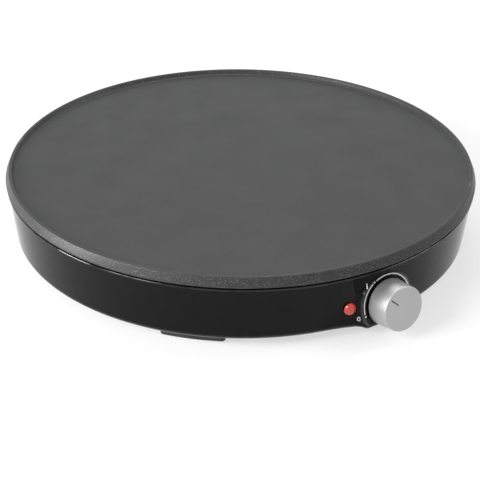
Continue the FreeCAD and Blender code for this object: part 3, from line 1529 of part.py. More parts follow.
TOP_KINDS = ("PartDesign::Body", "Part::Feature")
failed = [o.Name for o in doc.Objects if "Invalid" in o.State or "Error" in o.State]
parts = [o for o in doc.Objects if o.TypeId in TOP_KINDS and not o.getParentGeoFeatureGroup()]
for part in parts:
    if part.Shape.isNull() or not part.Shape.isValid():
        failed.append(part.Label)
if failed:
    raise RuntimeError("failed objects: " + ", ".join(failed))
for part in parts:
    part.Shape.exportStep("parts/%s.step" % part.Label)
    box = part.Shape.BoundBox
    print("%-24s solids %2d volume %10.1f  x %7.1f %7.1f  y %7.1f %7.1f  z %6.2f %6.2f" % (
        part.Label, len(part.Shape.Solids), part.Shape.Volume, box.XMin, box.XMax, box.YMin, box.YMax,
        box.ZMin, box.ZMax))
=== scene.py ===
import json
import math

import bmesh
import bpy
import numpy as np
from mathutils import Matrix, Vector


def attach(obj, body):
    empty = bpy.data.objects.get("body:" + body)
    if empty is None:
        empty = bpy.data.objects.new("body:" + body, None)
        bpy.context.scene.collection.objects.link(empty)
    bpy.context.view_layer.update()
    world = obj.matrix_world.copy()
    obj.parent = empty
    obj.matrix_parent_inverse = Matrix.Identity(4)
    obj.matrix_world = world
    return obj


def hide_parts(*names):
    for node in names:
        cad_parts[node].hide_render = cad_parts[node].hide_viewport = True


# Looks of the electric crepe maker. Sizes of the pieces are in millimetres; floor, lamps and camera are in
# metres, as the scene is.
# +Z is up, the table is z = 0, the plate's axis is x = y = 0 and the knob looks towards -Y.

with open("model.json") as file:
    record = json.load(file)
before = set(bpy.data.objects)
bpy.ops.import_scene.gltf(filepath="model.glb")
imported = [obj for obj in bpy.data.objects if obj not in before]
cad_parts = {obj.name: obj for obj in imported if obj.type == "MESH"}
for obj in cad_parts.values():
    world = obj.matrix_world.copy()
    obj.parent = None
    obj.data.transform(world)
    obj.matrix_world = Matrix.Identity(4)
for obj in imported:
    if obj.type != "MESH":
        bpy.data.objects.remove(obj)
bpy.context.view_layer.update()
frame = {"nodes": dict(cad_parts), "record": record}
mm = 0.001
sharpAngle = math.radians(38)  # edges steeper than this stay hard
bumpDistance = 0.0001  # metres
knobPivot = (0.0, -155.907, 20.6)
knobTilt = math.radians(9.0)  # the boss face leans back
knobAxis = (0.0, -math.cos(knobTilt), math.sin(knobTilt))


# Helpers for meshes

# Points (r, z) or (r, z, round) to a list of (r, z) with the rounds drawn as arcs
def roundedPath(points, steps=7):
    path = []
    for i, point in enumerate(points):
        here = Vector(point[:2])
        if len(point) < 3:
            path.append((here.x, here.y))
            continue
        into = (Vector(points[i - 1][:2]) - here).normalized()
        out = (Vector(points[(i + 1) % len(points)][:2]) - here).normalized()
        half = into.angle(out) / 2
        middle = (into + out).normalized()
        centre = here + middle * (point[2] / math.sin(half))
        first = here + into * (point[2] / math.tan(half)) - centre
        last = here + out * (point[2] / math.tan(half)) - centre
        turn = math.atan2(first.x * last.y - first.y * last.x, first.dot(last))
        for k in range(steps + 1):
            angle = turn * k / steps
            spot = Vector((first.x * math.cos(angle) - first.y * math.sin(angle),
                           first.x * math.sin(angle) + first.y * math.cos(angle))) + centre
            path.append((spot.x, spot.y))
    return path


# A mesh from a list of rings, each an array of points; neighbouring rings are joined by quads
def gridMesh(name, rings, closeRings=True):
    count = len(rings[0])
    points = np.concatenate(rings)
    faces = []
    for i in range(len(rings) if closeRings else len(rings) - 1):
        low = i * count
        high = ((i + 1) % len(rings)) * count
        for k in range(count):
            n = (k + 1) % count
            faces.append((low + k, low + n, high + n, high + k))
    mesh = bpy.data.meshes.new(name)
    mesh.from_pydata(points.tolist(), [], faces)
    return finishMesh(name, mesh)


def addObject(name, data):
    made = bpy.data.objects.new(name, data)
    bpy.context.scene.collection.objects.link(made)
    return made


# Joins doubled points, turns the faces outward and shades the mesh smooth between its hard edges
def finishMesh(name, mesh):
    edit = bmesh.new()
    edit.from_mesh(mesh)
    bmesh.ops.remove_doubles(edit, verts=edit.verts, dist=2e-6)
    bmesh.ops.dissolve_degenerate(edit, edges=edit.edges, dist=1e-6)
    bmesh.ops.recalc_face_normals(edit, faces=edit.faces)
    edit.to_mesh(mesh)
    edit.free()
    mesh.shade_smooth()
    mesh.set_sharp_from_angle(angle=sharpAngle)
    return addObject(name, mesh)


# Turns a path of (r, z) about Z
def lathe(name, path, steps):
    angles = np.linspace(0, 2 * math.pi, steps, endpoint=False)
    rings = []
    for r, z in path:
        height = np.full(steps, z * mm)
        rings.append(np.stack([r * mm * np.sin(angles), -r * mm * np.cos(angles), height], -1))
    return gridMesh(name, rings, closeRings=False)


# The mesh of an object with its modifiers, or of a text as drawn
def drawnMesh(item):
    bpy.context.view_layer.update()
    return bpy.data.meshes.new_from_object(item.evaluated_get(bpy.context.evaluated_depsgraph_get()))


# Takes the cutters out of the target's mesh
def cutAway(target, cutters):
    for cutter in cutters:
        modifier = target.modifiers.new("cut", "BOOLEAN")
        modifier.object = cutter
        modifier.solver = "EXACT"
        cutMesh = drawnMesh(target)
        target.modifiers.clear()
        target.data = cutMesh
        bpy.data.objects.remove(cutter)
    target.data.shade_smooth()
    target.data.set_sharp_from_angle(angle=sharpAngle)


# Helpers for materials

# Short calls for one node tree
class Nodes:
    def __init__(self, tree):
        self.tree = tree

    def add(self, kind, **values):
        node = self.tree.nodes.new(kind)
        for key, value in values.items():
            if key in node.inputs.keys():
                node.inputs[key].default_value = value
            else:
                setattr(node, key, value)
        return node

    def link(self, a, b):
        self.tree.links.new(a, b)

    def math(self, operation, a, b=None, clamp=False):
        node = self.tree.nodes.new("ShaderNodeMath")
        node.operation = operation
        node.use_clamp = clamp
        for i, value in enumerate((a, b)):
            if value is None:
                continue
            if isinstance(value, (int, float)):
                node.inputs[i].default_value = value
            else:
                self.link(value, node.inputs[i])
        return node.outputs[0]

    def ramp(self, value, low, high):
        node = self.tree.nodes.new("ShaderNodeMapRange")
        node.interpolation_type = "SMOOTHSTEP"
        node.inputs["From Min"].default_value = low
        node.inputs["From Max"].default_value = high
        self.link(value, node.inputs["Value"])
        return node.outputs["Result"]

    def mix(self, mask, a, b):
        node = self.tree.nodes.new("ShaderNodeMix")
        node.data_type = "RGBA"
        for socket, value in ((0, mask), (6, a), (7, b)):
            if isinstance(value, (tuple, list)):
                node.inputs[socket].default_value = (*value, 1.0)
            elif isinstance(value, (int, float)):
                node.inputs[socket].default_value = value
            else:
                self.link(value, node.inputs[socket])
        return node.outputs[2]


def newGroup(name, inputs, outputs):
    group = bpy.data.node_groups.new(name, "ShaderNodeTree")
    for label, kind, value in inputs:
        socket = group.interface.new_socket(label, in_out="INPUT", socket_type=kind)
        socket.default_value = value
    for label, kind in outputs:
        group.interface.new_socket(label, in_out="OUTPUT", socket_type=kind)
    nodes = Nodes(group)
    return group, nodes, nodes.add("NodeGroupInput"), nodes.add("NodeGroupOutput")


# Fine fleck: small light and dark spots and a slow mottling
def makeSpeckleGroup():
    group, n, inp, out = newGroup(
        "fleck", [("Spots per mm", "NodeSocketFloat", 1.5), ("Spot size", "NodeSocketFloat", 0.3)],
        [("Light spots", "NodeSocketFloat"), ("Dark spots", "NodeSocketFloat"), ("Mottle", "NodeSocketFloat")])
    place = n.add("ShaderNodeTexCoord").outputs["Object"]
    scale = n.math("MULTIPLY", inp.outputs[0], 1000.0)
    cells = n.add("ShaderNodeTexVoronoi")
    n.link(place, cells.inputs["Vector"])
    n.link(scale, cells.inputs["Scale"])
    inside = n.math("LESS_THAN", cells.outputs["Distance"], inp.outputs[1])
    tone = n.add("ShaderNodeSeparateColor")
    n.link(cells.outputs["Color"], tone.inputs[0])
    n.link(n.math("MULTIPLY", inside, n.math("GREATER_THAN", tone.outputs[0], 0.72)), out.inputs[0])
    n.link(n.math("MULTIPLY", inside, n.math("LESS_THAN", tone.outputs[0], 0.3)), out.inputs[1])
    cloud = n.add("ShaderNodeTexNoise", Scale=55.0, Detail=3.0)
    n.link(place, cloud.inputs["Vector"])
    n.link(n.ramp(cloud.outputs["Fac"], 0.3, 0.7), out.inputs[2])
    return group


# A fine skin for bump, and a slow change of gloss
def makeGrainGroup():
    group, n, inp, out = newGroup(
        "skin", [("Scale", "NodeSocketFloat", 900.0), ("Stretch", "NodeSocketVector", (1.0, 1.0, 1.0))],
        [("Height", "NodeSocketFloat"), ("Gloss change", "NodeSocketFloat")])
    place = n.add("ShaderNodeTexCoord").outputs["Object"]
    stretch = n.add("ShaderNodeVectorMath", operation="MULTIPLY")
    n.link(place, stretch.inputs[0])
    n.link(inp.outputs[1], stretch.inputs[1])
    fine = n.add("ShaderNodeTexNoise", Detail=4.0, Roughness=0.6)
    n.link(stretch.outputs[0], fine.inputs["Vector"])
    n.link(inp.outputs[0], fine.inputs["Scale"])
    n.link(fine.outputs["Fac"], out.inputs[0])
    slow = n.add("ShaderNodeTexNoise", Scale=24.0, Detail=2.0)
    n.link(place, slow.inputs["Vector"])
    n.link(n.ramp(slow.outputs["Fac"], 0.35, 0.7), out.inputs[1])
    return group


# Where edges stand out, for rubbed edges
def makeEdgeGroup():
    group, n, inp, out = newGroup(
        "rubbed edges", [("Reach", "NodeSocketFloat", 0.06)], [("Mask", "NodeSocketFloat")])
    shape = n.add("ShaderNodeNewGeometry").outputs["Pointiness"]
    place = n.add("ShaderNodeTexCoord").outputs["Object"]
    patches = n.add("ShaderNodeTexNoise", Scale=140.0, Detail=3.0)
    n.link(place, patches.inputs["Vector"])
    raised = n.math("SUBTRACT", shape, 0.5)
    worn = n.math("DIVIDE", raised, inp.outputs[0], clamp=True)
    n.link(n.math("MULTIPLY", worn, n.ramp(patches.outputs["Fac"], 0.1, 0.6)), out.inputs[0])
    return group


# A thin film on what faces up
def makeDustGroup():
    group, n, inp, out = newGroup(
        "light dust", [("Amount", "NodeSocketFloat", 0.1)], [("Mask", "NodeSocketFloat")])
    normal = n.add("ShaderNodeNewGeometry").outputs["Normal"]
    parts = n.add("ShaderNodeSeparateXYZ")
    n.link(normal, parts.inputs[0])
    place = n.add("ShaderNodeTexCoord").outputs["Object"]
    patches = n.add("ShaderNodeTexNoise", Scale=70.0, Detail=5.0, Roughness=0.7)
    n.link(place, patches.inputs["Vector"])
    up = n.ramp(parts.outputs[2], 0.4, 1.0)
    film = n.math("MULTIPLY", up, n.ramp(patches.outputs["Fac"], 0.4, 0.8))
    n.link(n.math("MULTIPLY", film, inp.outputs[0]), out.inputs[0])
    return group


fleck = makeSpeckleGroup()
skin = makeGrainGroup()
rubbedEdges = makeEdgeGroup()
lightDust = makeDustGroup()


# A material with its Principled shader; plain sockets are set here
def newMaterial(name, **sockets):
    material = bpy.data.materials.new(name)
    material.use_nodes = True
    n = Nodes(material.node_tree)
    shader = material.node_tree.nodes["Principled BSDF"]
    for key, value in sockets.items():
        shader.inputs[key.replace("_", " ")].default_value = value
    return material, n, shader


def useGroup(n, group, **values):
    node = n.add("ShaderNodeGroup")
    node.node_tree = group
    for key, value in values.items():
        node.inputs[key.replace("_", " ")].default_value = value
    return node


def addBump(n, shader, height, strength, distance=bumpDistance):
    bump = n.add("ShaderNodeBump", Strength=strength, Distance=distance)
    n.link(height, bump.inputs["Height"])
    n.link(bump.outputs[0], shader.inputs["Normal"])


# Materials

# The wall colour is a painted sheen: faces that turn sideways are painted lighter than the flat cooking face
coatingLook = {"colour": (0.021, 0.0215, 0.0225), "mottle": (0.026, 0.0265, 0.0275),
               "wall": (0.03, 0.03, 0.031),
               "lightFleck": (0.24, 0.24, 0.245), "darkFleck": (0.004, 0.004, 0.004), "worn": (0.2, 0.2, 0.21),
               "roughness": 0.44, "specular": 0.25, "spotsPerMm": 1.5, "spotSize": 0.3, "grainScale": 1500.0}


def coatingMaterial():
    material, n, shader = newMaterial("nonstickCoating", Specular_IOR_Level=coatingLook["specular"])
    spots = useGroup(n, fleck, Spots_per_mm=coatingLook["spotsPerMm"], Spot_size=coatingLook["spotSize"])
    grain = useGroup(n, skin, Scale=coatingLook["grainScale"])
    worn = useGroup(n, rubbedEdges, Reach=0.08)
    facing = n.add("ShaderNodeSeparateXYZ")
    n.link(n.add("ShaderNodeNewGeometry").outputs["Normal"], facing.inputs[0])
    # Painted sheen: the further a face turns sideways, the more of the lighter wall colour it takes
    wall = n.math("SUBTRACT", 1.0, n.ramp(facing.outputs[2], 0.45, 0.9))
    base = n.mix(spots.outputs[2], coatingLook["colour"], coatingLook["mottle"])
    base = n.mix(wall, base, coatingLook["wall"])
    # The light and dark flecks are the coating's own speckle, but they are shown mostly on the sideways wall,
    # where they are painted glints of the sheen
    paintedSheenFleckShare = n.math("ADD", n.math("MULTIPLY", wall, 0.65), 0.12)
    base = n.mix(n.math("MULTIPLY", spots.outputs[1], paintedSheenFleckShare), base, coatingLook["darkFleck"])
    base = n.mix(n.math("MULTIPLY", spots.outputs[0], paintedSheenFleckShare), base, coatingLook["lightFleck"])
    base = n.mix(n.math("MULTIPLY", worn.outputs[0], 0.25), base, coatingLook["worn"])
    n.link(base, shader.inputs["Base Color"])
    rough = n.math("ADD", n.math("MULTIPLY", grain.outputs[1], 0.08), coatingLook["roughness"] - 0.04)
    n.link(rough, shader.inputs["Roughness"])
    addBump(n, shader, grain.outputs[0], 0.25)
    return material


# The specular level is lower than real plastic's, which keeps the middle of the wall dark
glossLook = {"colour": (0.0025, 0.0025, 0.0027), "roughness": 0.05, "specular": 0.12, "dust": 0.02,
             "dustColour": (0.3, 0.29, 0.28), "edgeGloss": 1.0}


def glossMaterial():
    material, n, shader = newMaterial("glossBlackPlastic", Specular_IOR_Level=glossLook["specular"])
    grain = useGroup(n, skin, Scale=60.0)
    dust = useGroup(n, lightDust, Amount=glossLook["dust"])
    base = n.mix(dust.outputs[0], glossLook["colour"], glossLook["dustColour"])
    n.link(base, shader.inputs["Base Color"])
    rough = n.math("ADD", n.math("MULTIPLY", grain.outputs[1], 0.02), glossLook["roughness"])
    n.link(n.math("ADD", rough, n.math("MULTIPLY", dust.outputs[0], 2.0)), shader.inputs["Roughness"])
    edges = useGroup(n, rubbedEdges, Reach=0.03)
    n.link(n.math("MULTIPLY", edges.outputs[0], glossLook["edgeGloss"]), shader.inputs["Coat Weight"])
    addBump(n, shader, grain.outputs[0], 0.02)
    return material


# Moulded plastic, ceramic, rubber and sleeving: fine skin, a little change of gloss, rubbed edges
def plasticMaterial(name, colour, roughness, grainScale=700.0, grainDepth=0.15, wornColour=None):
    material, n, shader = newMaterial(name, Specular_IOR_Level=0.4)
    grain = useGroup(n, skin, Scale=grainScale)
    worn = useGroup(n, rubbedEdges, Reach=0.08)
    lighter = wornColour or tuple(min(1.0, c * 1.5 + 0.02) for c in colour)
    base = n.mix(n.math("MULTIPLY", grain.outputs[1], 0.35), colour, tuple(c * 0.82 for c in colour))
    n.link(n.mix(n.math("MULTIPLY", worn.outputs[0], 0.4), base, lighter), shader.inputs["Base Color"])
    n.link(n.math("ADD", n.math("MULTIPLY", grain.outputs[1], 0.1), roughness), shader.inputs["Roughness"])
    addBump(n, shader, grain.outputs[0], grainDepth)
    return material


# Drawn, plated or oxidised metal: streaked skin, slow change of colour, bright rubbed edges
def metalMaterial(name, colour, roughness, tint=None):
    material, n, shader = newMaterial(name, Metallic=1.0)
    grain = useGroup(n, skin, Scale=420.0, Stretch=(1.0, 1.0, 12.0))
    worn = useGroup(n, rubbedEdges, Reach=0.1)
    other = tint or tuple(c * 0.8 for c in colour)
    base = n.mix(n.math("MULTIPLY", grain.outputs[1], 0.6), colour, other)
    bright = tuple(min(1.0, c * 1.25) for c in colour)
    n.link(n.mix(n.math("MULTIPLY", worn.outputs[0], 0.5), base, bright), shader.inputs["Base Color"])
    rough = n.math("ADD", n.math("MULTIPLY", grain.outputs[0], 0.14), roughness - 0.07)
    n.link(rough, shader.inputs["Roughness"])
    addBump(n, shader, grain.outputs[0], 0.06)
    return material


knobLook = {"colour": (0.43, 0.43, 0.43), "lines": (0.36, 0.36, 0.36), "roughness": 0.46, "metallic": 0.75,
            "anisotropy": 0.3, "linesPerMetre": 6000.0}


# Satin aluminium with spun lines round the knob's own axis
def knobMaterial():
    material, n, shader = newMaterial("satinAluminium", Metallic=knobLook["metallic"],
                                      Anisotropic=knobLook["anisotropy"])
    fromPivot = n.add("ShaderNodeVectorMath", operation="SUBTRACT")
    n.link(n.add("ShaderNodeTexCoord").outputs["Object"], fromPivot.inputs[0])
    fromPivot.inputs[1].default_value = [c * mm for c in knobPivot]
    along = n.add("ShaderNodeVectorMath", operation="DOT_PRODUCT")
    n.link(fromPivot.outputs[0], along.inputs[0])
    along.inputs[1].default_value = knobAxis
    around = n.add("ShaderNodeVectorMath", operation="CROSS_PRODUCT")
    n.link(fromPivot.outputs[0], around.inputs[0])
    around.inputs[1].default_value = knobAxis
    reach = n.add("ShaderNodeVectorMath", operation="LENGTH")
    n.link(around.outputs[0], reach.inputs[0])
    lines = n.add("ShaderNodeCombineXYZ")
    n.link(n.math("MULTIPLY", reach.outputs["Value"], knobLook["linesPerMetre"]), lines.inputs[0])
    n.link(n.math("MULTIPLY", along.outputs["Value"], knobLook["linesPerMetre"]), lines.inputs[1])
    spun = n.add("ShaderNodeTexNoise", Scale=1.0, Detail=2.0)
    n.link(lines.outputs[0], spun.inputs["Vector"])
    grain = useGroup(n, skin, Scale=500.0)
    base = n.mix(n.math("MULTIPLY", spun.outputs["Fac"], 0.5), knobLook["colour"], knobLook["lines"])
    n.link(base, shader.inputs["Base Color"])
    n.link(n.math("ADD", n.math("MULTIPLY", grain.outputs[0], 0.08), knobLook["roughness"] - 0.04),
           shader.inputs["Roughness"])
    tangent = n.add("ShaderNodeVectorMath", operation="CROSS_PRODUCT")
    tangent.inputs[0].default_value = knobAxis
    n.link(n.add("ShaderNodeNewGeometry").outputs["Normal"], tangent.inputs[1])
    n.link(tangent.outputs[0], shader.inputs["Tangent"])
    addBump(n, shader, spun.outputs["Fac"], 0.1, bumpDistance / 2)
    return material


lensLook = {"dark": (0.45, 0.02, 0.01), "light": (0.62, 0.05, 0.025), "facetScale": 1300.0}


def lensMaterial():
    material, n, shader = newMaterial("redLens", Roughness=0.12, Coat_Weight=0.8, Coat_Roughness=0.03,
                                      Specular_IOR_Level=0.3)
    place = n.add("ShaderNodeTexCoord").outputs["Object"]
    facets = n.add("ShaderNodeTexVoronoi", Scale=lensLook["facetScale"])
    n.link(place, facets.inputs["Vector"])
    base = n.mix(facets.outputs["Distance"], lensLook["dark"], lensLook["light"])
    n.link(base, shader.inputs["Base Color"])
    addBump(n, shader, facets.outputs["Distance"], 0.25)
    return material


def lampGlassMaterial():
    material, n, shader = newMaterial("lampGlass", Roughness=0.05, IOR=1.45, Transmission_Weight=0.8)
    grain = useGroup(n, skin, Scale=300.0)
    n.link(n.mix(grain.outputs[1], (0.95, 0.78, 0.66), (0.9, 0.7, 0.55)), shader.inputs["Base Color"])
    return material


def printMaterial():
    material, n, shader = newMaterial("whitePrint", Roughness=0.45)
    grain = useGroup(n, skin, Scale=2500.0)
    n.link(n.mix(n.ramp(grain.outputs[0], 0.35, 0.65), (0.62, 0.62, 0.62), (0.78, 0.78, 0.77)),
           shader.inputs["Base Color"])
    return material


finishes = {
    "nonstick_coating": coatingMaterial(),
    "gloss_black_plastic": glossMaterial(),
    "matt_black_plastic": plasticMaterial("mattBlackPlastic", (0.014, 0.014, 0.015), 0.38,
                                          wornColour=(0.06, 0.06, 0.06)),
    "satin_aluminium": knobMaterial(),
    "red_lens": lensMaterial(),
    "lamp_glass": lampGlassMaterial(),
    "heater_sheath": metalMaterial("heaterSheath", (0.2, 0.19, 0.18), 0.5, tint=(0.12, 0.1, 0.09)),
    "zinc_steel": metalMaterial("zincSteel", (0.62, 0.63, 0.64), 0.35, tint=(0.55, 0.54, 0.48)),
    "aluminised_steel": metalMaterial("aluminisedSteel", (0.6, 0.61, 0.62), 0.42),
    "brass": metalMaterial("brassParts", (0.72, 0.54, 0.26), 0.3, tint=(0.6, 0.42, 0.2)),
    "ceramic": plasticMaterial("ceramicParts", (0.74, 0.7, 0.62), 0.6),
    "white_plastic": plasticMaterial("whitePlastic", (0.72, 0.72, 0.69), 0.42),
    "rubber_pad": plasticMaterial("rubberPads", (0.02, 0.02, 0.02), 0.75, grainScale=400.0, grainDepth=0.4),
    "brown_sleeve": plasticMaterial("brownSleeve", (0.2, 0.09, 0.04), 0.45),
    "blue_sleeve": plasticMaterial("blueSleeve", (0.05, 0.14, 0.45), 0.45),
    "white_sleeve": plasticMaterial("whiteSleeve", (0.72, 0.7, 0.66), 0.7, grainScale=1600.0, grainDepth=0.5),
    "green_sleeve": plasticMaterial("greenSleeve", (0.2, 0.42, 0.08), 0.45),
}
whitePrint = printMaterial()
darkFill = plasticMaterial("darkFill", (0.01, 0.01, 0.01), 0.5)


def wearMaterial(piece, material):
    piece.data.materials.clear()
    piece.data.materials.append(material)
    for face in piece.data.polygons:
        face.material_index = 0


for part in frame["record"]["subparts"]:
    wearMaterial(frame["nodes"][part["node"]], finishes[part["material_slot"]])
print("materials made for", len(finishes), "finishes")


def dressPiece(piece, body, slotName, replaced=(), material=None):
    wearMaterial(piece, material or finishes[slotName])
    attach(piece, body)
    if replaced:
        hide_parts(*replaced)


# Cooking plate

plateSizes = {"radius": 155.0, "crest": 50.0, "crestRadius": 152.7, "lipInner": 150.8, "floor": 47.0,
              "floorRadius": 149.1, "under": 42.5, "underRadius": 148.5, "skirt": 43.5,
              "ribs": ((94.4, 96.4), (103.6, 105.6)), "ribDrop": 2.6}


def makePlate():
    p = plateSizes
    low = p["under"] - p["ribDrop"]
    path = [(0.0, p["under"])]
    for first, last in p["ribs"]:
        path += [(first, p["under"]), (first, low), (last, low), (last, p["under"])]
    path += roundedPath([
        (p["underRadius"], p["under"]), (150.0, p["skirt"], 0.6), (154.5, p["skirt"], 1.1),
        (p["radius"], 44.8, 0.6), (p["crestRadius"], p["crest"], 0.7), (p["lipInner"], p["crest"], 0.7),
        (p["floorRadius"], p["floor"], 2.2), *((r, p["floor"]) for r in (120.0, 80.0, 40.0, 10.0, 0.0)),
    ])
    plate = lathe("cookingPlate", path, 360)
    dressPiece(plate, "base", "nonstick_coating", ["griddle_plate"])


makePlate()
print("cooking plate done")


# Housing with its knob boss

housingSizes = {"wallFoot": 150.1, "wallTop": 153.9, "foot": 5.5, "top": 41.2, "footRound": 3.4, "wall": 2.6,
                "beadRadius": 154.6, "beadHeight": 42.7, "beadFlat": 152.6, "beadUnder": 41.5,
                "ledge": 137.0, "ledgeTop": 10.5, "ledgeUnder": 8.0,
                "innerFoot": 148.03, "innerTop": 151.3, "grooveTop": 151.75, "lip": 152.1,
                "blend": (1.2, 2.6), "blendFrom": (17.5, 23.0), "bossSide": 0.6,
                "fineAngle": 15, "fineSteps": 176, "wideSteps": 332, "rows": 72, "roundRows": 8}
holeSizes = {"shaft": 5.6, "lens": 3.1, "gland": 7.1, "glandSeat": 9.7, "glandSeatAt": 151.04,
             "glandHeight": 20.0}
# Distance from the knob's axis and height above the boss face
bossProfile = np.array(roundedPath(
    [(-1.0, 0.0), (18.4, 0.0, 0.9), (19.4, -4.5, 7.5), (42.4, -16.0), (90.0, -40.0)], 12))
cosTilt = math.cos(knobTilt)
sinTilt = math.sin(knobTilt)
bossReach = -knobPivot[1]
bossHeight = knobPivot[2]


def wallRadius(z):
    h = housingSizes
    return h["wallFoot"] + (z - h["foot"]) * (h["wallTop"] - h["wallFoot"]) / (h["top"] - h["foot"])


# Outside of the housing at an angle from the knob's side and a height, both arrays
def outerRadius(angle, z):
    h = housingSizes
    wall = wallRadius(z)
    near = np.abs(angle) < h["bossSide"]
    facing = np.where(near, np.cos(angle), 1.0)
    depth = np.zeros_like(angle)
    for _ in range(6):  # settles on the depth of the boss's flank
        boss = (bossReach * cosTilt - (z - bossHeight) * sinTilt - depth) / (facing * cosTilt)
        x = boss * np.sin(angle)
        up = (bossReach - boss * facing) * sinTilt + (z - bossHeight) * cosTilt
        across = np.hypot(x, up)
        depth = 0.5 * depth - 0.5 * np.interp(across, bossProfile[:, 0], bossProfile[:, 1])
    boss = np.where(near, boss, 0.0)
    share = np.clip((across - h["blendFrom"][0]) / (h["blendFrom"][1] - h["blendFrom"][0]), 0.0, 1.0)
    blend = h["blend"][0] + (h["blend"][1] - h["blend"][0]) * share * share * (3.0 - 2.0 * share)
    overlap = np.maximum(blend - np.abs(wall - boss), 0.0) / blend
    return np.maximum(wall, boss) + overlap ** 2 * blend / 4


# Points of the boss face, in millimetres: x to the right and up the face from the knob's axis
def knobPlane(x, up):
    return np.stack([x, -bossReach + up * sinTilt, bossHeight + up * cosTilt], -1)


# Moves points along a direction to just above the housing's surface; the reach is 25 mm in and 5 mm out
def onHousing(points, direction, lift):
    low = np.full(len(points), -25.0)
    high = np.full(len(points), 5.0)
    direction = np.array(direction)
    for _ in range(40):  # halves the reach until the surface is found
        middle = (low + high) / 2
        spot = points + direction * middle[:, None]
        surface = outerRadius(np.arctan2(spot[:, 0], -spot[:, 1]), spot[:, 2])
        inside = np.hypot(spot[:, 0], spot[:, 1]) < surface
        low = np.where(inside, middle, low)
        high = np.where(inside, high, middle)
    return points + direction * (middle + lift)[:, None]


# Where a dial number stands: its place on the housing, and the directions to its right, up and out
def tangentFrame(angle, radius):
    turn = math.radians(angle)
    beside = ((0, 0), (0.3, 0), (0, 0.3))  # the place itself, a little to its right and a little above it
    x, up = np.array([(radius * math.sin(turn) + a, radius * math.cos(turn) + b) for a, b in beside]).T
    spots = onHousing(knobPlane(x, up), knobAxis, 0.0)
    out = np.cross(spots[1] - spots[0], spots[2] - spots[0])
    out /= np.linalg.norm(out)
    right = np.cross((0.0, 0.0, 1.0), out)
    right /= np.linalg.norm(right)
    return spots[0], right, np.cross(out, right), out


# Where the knob and the lens sit, each with its own +Z outwards
knobMatrix = (Matrix.Translation((0, -bossReach * mm, bossHeight * mm))
              @ Matrix.Rotation(math.radians(90) - knobTilt, 4, "X"))
lensSizes = {"azimuth": -8.9, "seat": 152.186, "height": 20.4, "radius": 3.9,
             "stem": (2.3, 3.0), "stemEnd": -9.0, "shoulder": 1.7, "crown": 2.2}
lensMatrix = (Matrix.Rotation(math.radians(lensSizes["azimuth"]), 4, "Z")
              @ Matrix.Translation((0, -lensSizes["seat"] * mm, lensSizes["height"] * mm))
              @ Matrix.Rotation(math.radians(90), 4, "X"))


def makeHousing():
    h = housingSizes
    fine = math.radians(h["fineAngle"])
    angles = np.concatenate([np.linspace(-fine, fine, h["fineSteps"]),
                             np.linspace(fine, 2 * math.pi - fine, h["wideSteps"])[1:-1]])
    angles = (angles + math.pi) % (2 * math.pi) - math.pi

    def ring(r, z):
        r = np.broadcast_to(r, angles.shape)
        z = np.broadcast_to(z, angles.shape)
        return np.stack([r * mm * np.sin(angles), -r * mm * np.cos(angles), z * mm], -1)

    arcTop = h["foot"] + h["footRound"]
    rings = [ring(h["ledge"], h["ledgeTop"]), ring(h["innerFoot"], h["ledgeTop"]),
             ring(h["innerTop"], h["top"]), ring(h["grooveTop"], h["beadHeight"] - 0.4),
             ring(h["lip"], h["beadHeight"])]
    bead = roundedPath([(h["beadFlat"], h["beadHeight"]), (h["beadRadius"], h["beadHeight"], 0.8),
                        (h["beadRadius"], h["beadUnder"], 0.25), (h["wallTop"], h["top"])], 6)
    rings += [ring(r, z) for r, z in bead[:-1]]
    for z in np.linspace(h["top"], arcTop, h["rows"]):
        rings.append(ring(outerRadius(angles, np.full_like(angles, z)), z))
    edge = outerRadius(angles, np.full_like(angles, arcTop))
    for k in range(1, h["roundRows"] + 1):
        turn = math.radians(90 * k / h["roundRows"])
        r = edge - h["footRound"] * (1 - math.cos(turn))
        rings.append(ring(r, arcTop - h["footRound"] * math.sin(turn)))
    inner = h["wallFoot"] - h["wall"]
    rings += [ring(np.minimum(inner, edge - h["footRound"] - 0.01), h["foot"]),
              ring(inner - 0.02, h["ledgeUnder"]), ring(h["ledge"], h["ledgeUnder"])]
    shell = gridMesh("housingShell", rings)

    o = holeSizes
    shaftPath = [(0.0, -12.0), (o["shaft"], -12.0), (o["shaft"], 5.0), (0.0, 5.0)]
    shaftHole = lathe("shaftHole", shaftPath, 48)
    shaftHole.matrix_world = knobMatrix
    glandPath = [(0.0, 135.0), (o["gland"], 135.0), (o["gland"], o["glandSeatAt"]),
                 (o["glandSeat"], o["glandSeatAt"]), (o["glandSeat"], 160.0), (0.0, 160.0)]
    glandHole = lathe("glandHole", glandPath, 64)
    glandHole.matrix_world = (Matrix.Translation((0, 0, o["glandHeight"] * mm))
                              @ Matrix.Rotation(math.radians(-90), 4, "X"))
    lensPath = [(0.0, -12.0), (o["lens"], -12.0), (o["lens"], 4.0), (0.0, 4.0)]
    lensHole = lathe("lensHole", lensPath, 48)
    lensHole.matrix_world = lensMatrix
    cutAway(shell, [shaftHole, glandHole, lensHole])
    dressPiece(shell, "base", "gloss_black_plastic", ["housing"])


makeHousing()
print("housing done")


# Dial marks printed on the boss and the wall beside it; angles from the top, clockwise seen from the front

dialMarks = {"radius": 17.05, "width": 0.8, "arcs": ((-103.0, -35.0), (-26.0, 108.0)),
             "dots": ((-108.0, 0.62), (-31.0, 0.62)), "dotSteps": 20, "lift": 0.045,
             "numbers": (("0", -111.0, 19.9), ("1", -45.0, 19.6), ("5", 113.0, 20.0)), "numberHeight": 3.3}


# A figure as a mesh of fine faces, centred, in millimetres
def textMesh(text, height):
    curve = bpy.data.curves.new("figure", "FONT")
    curve.body = text
    curve.size = height / 0.7  # a figure is 0.7 of the letter size high
    curve.align_x = "CENTER"
    curve.align_y = "CENTER"
    holder = addObject("figure", curve)
    drawn = drawnMesh(holder)
    bpy.data.objects.remove(holder)
    bpy.data.curves.remove(curve)
    middle = sum((v.co for v in drawn.vertices), Vector()) / len(drawn.vertices)
    for v in drawn.vertices:
        v.co -= middle
    return drawn


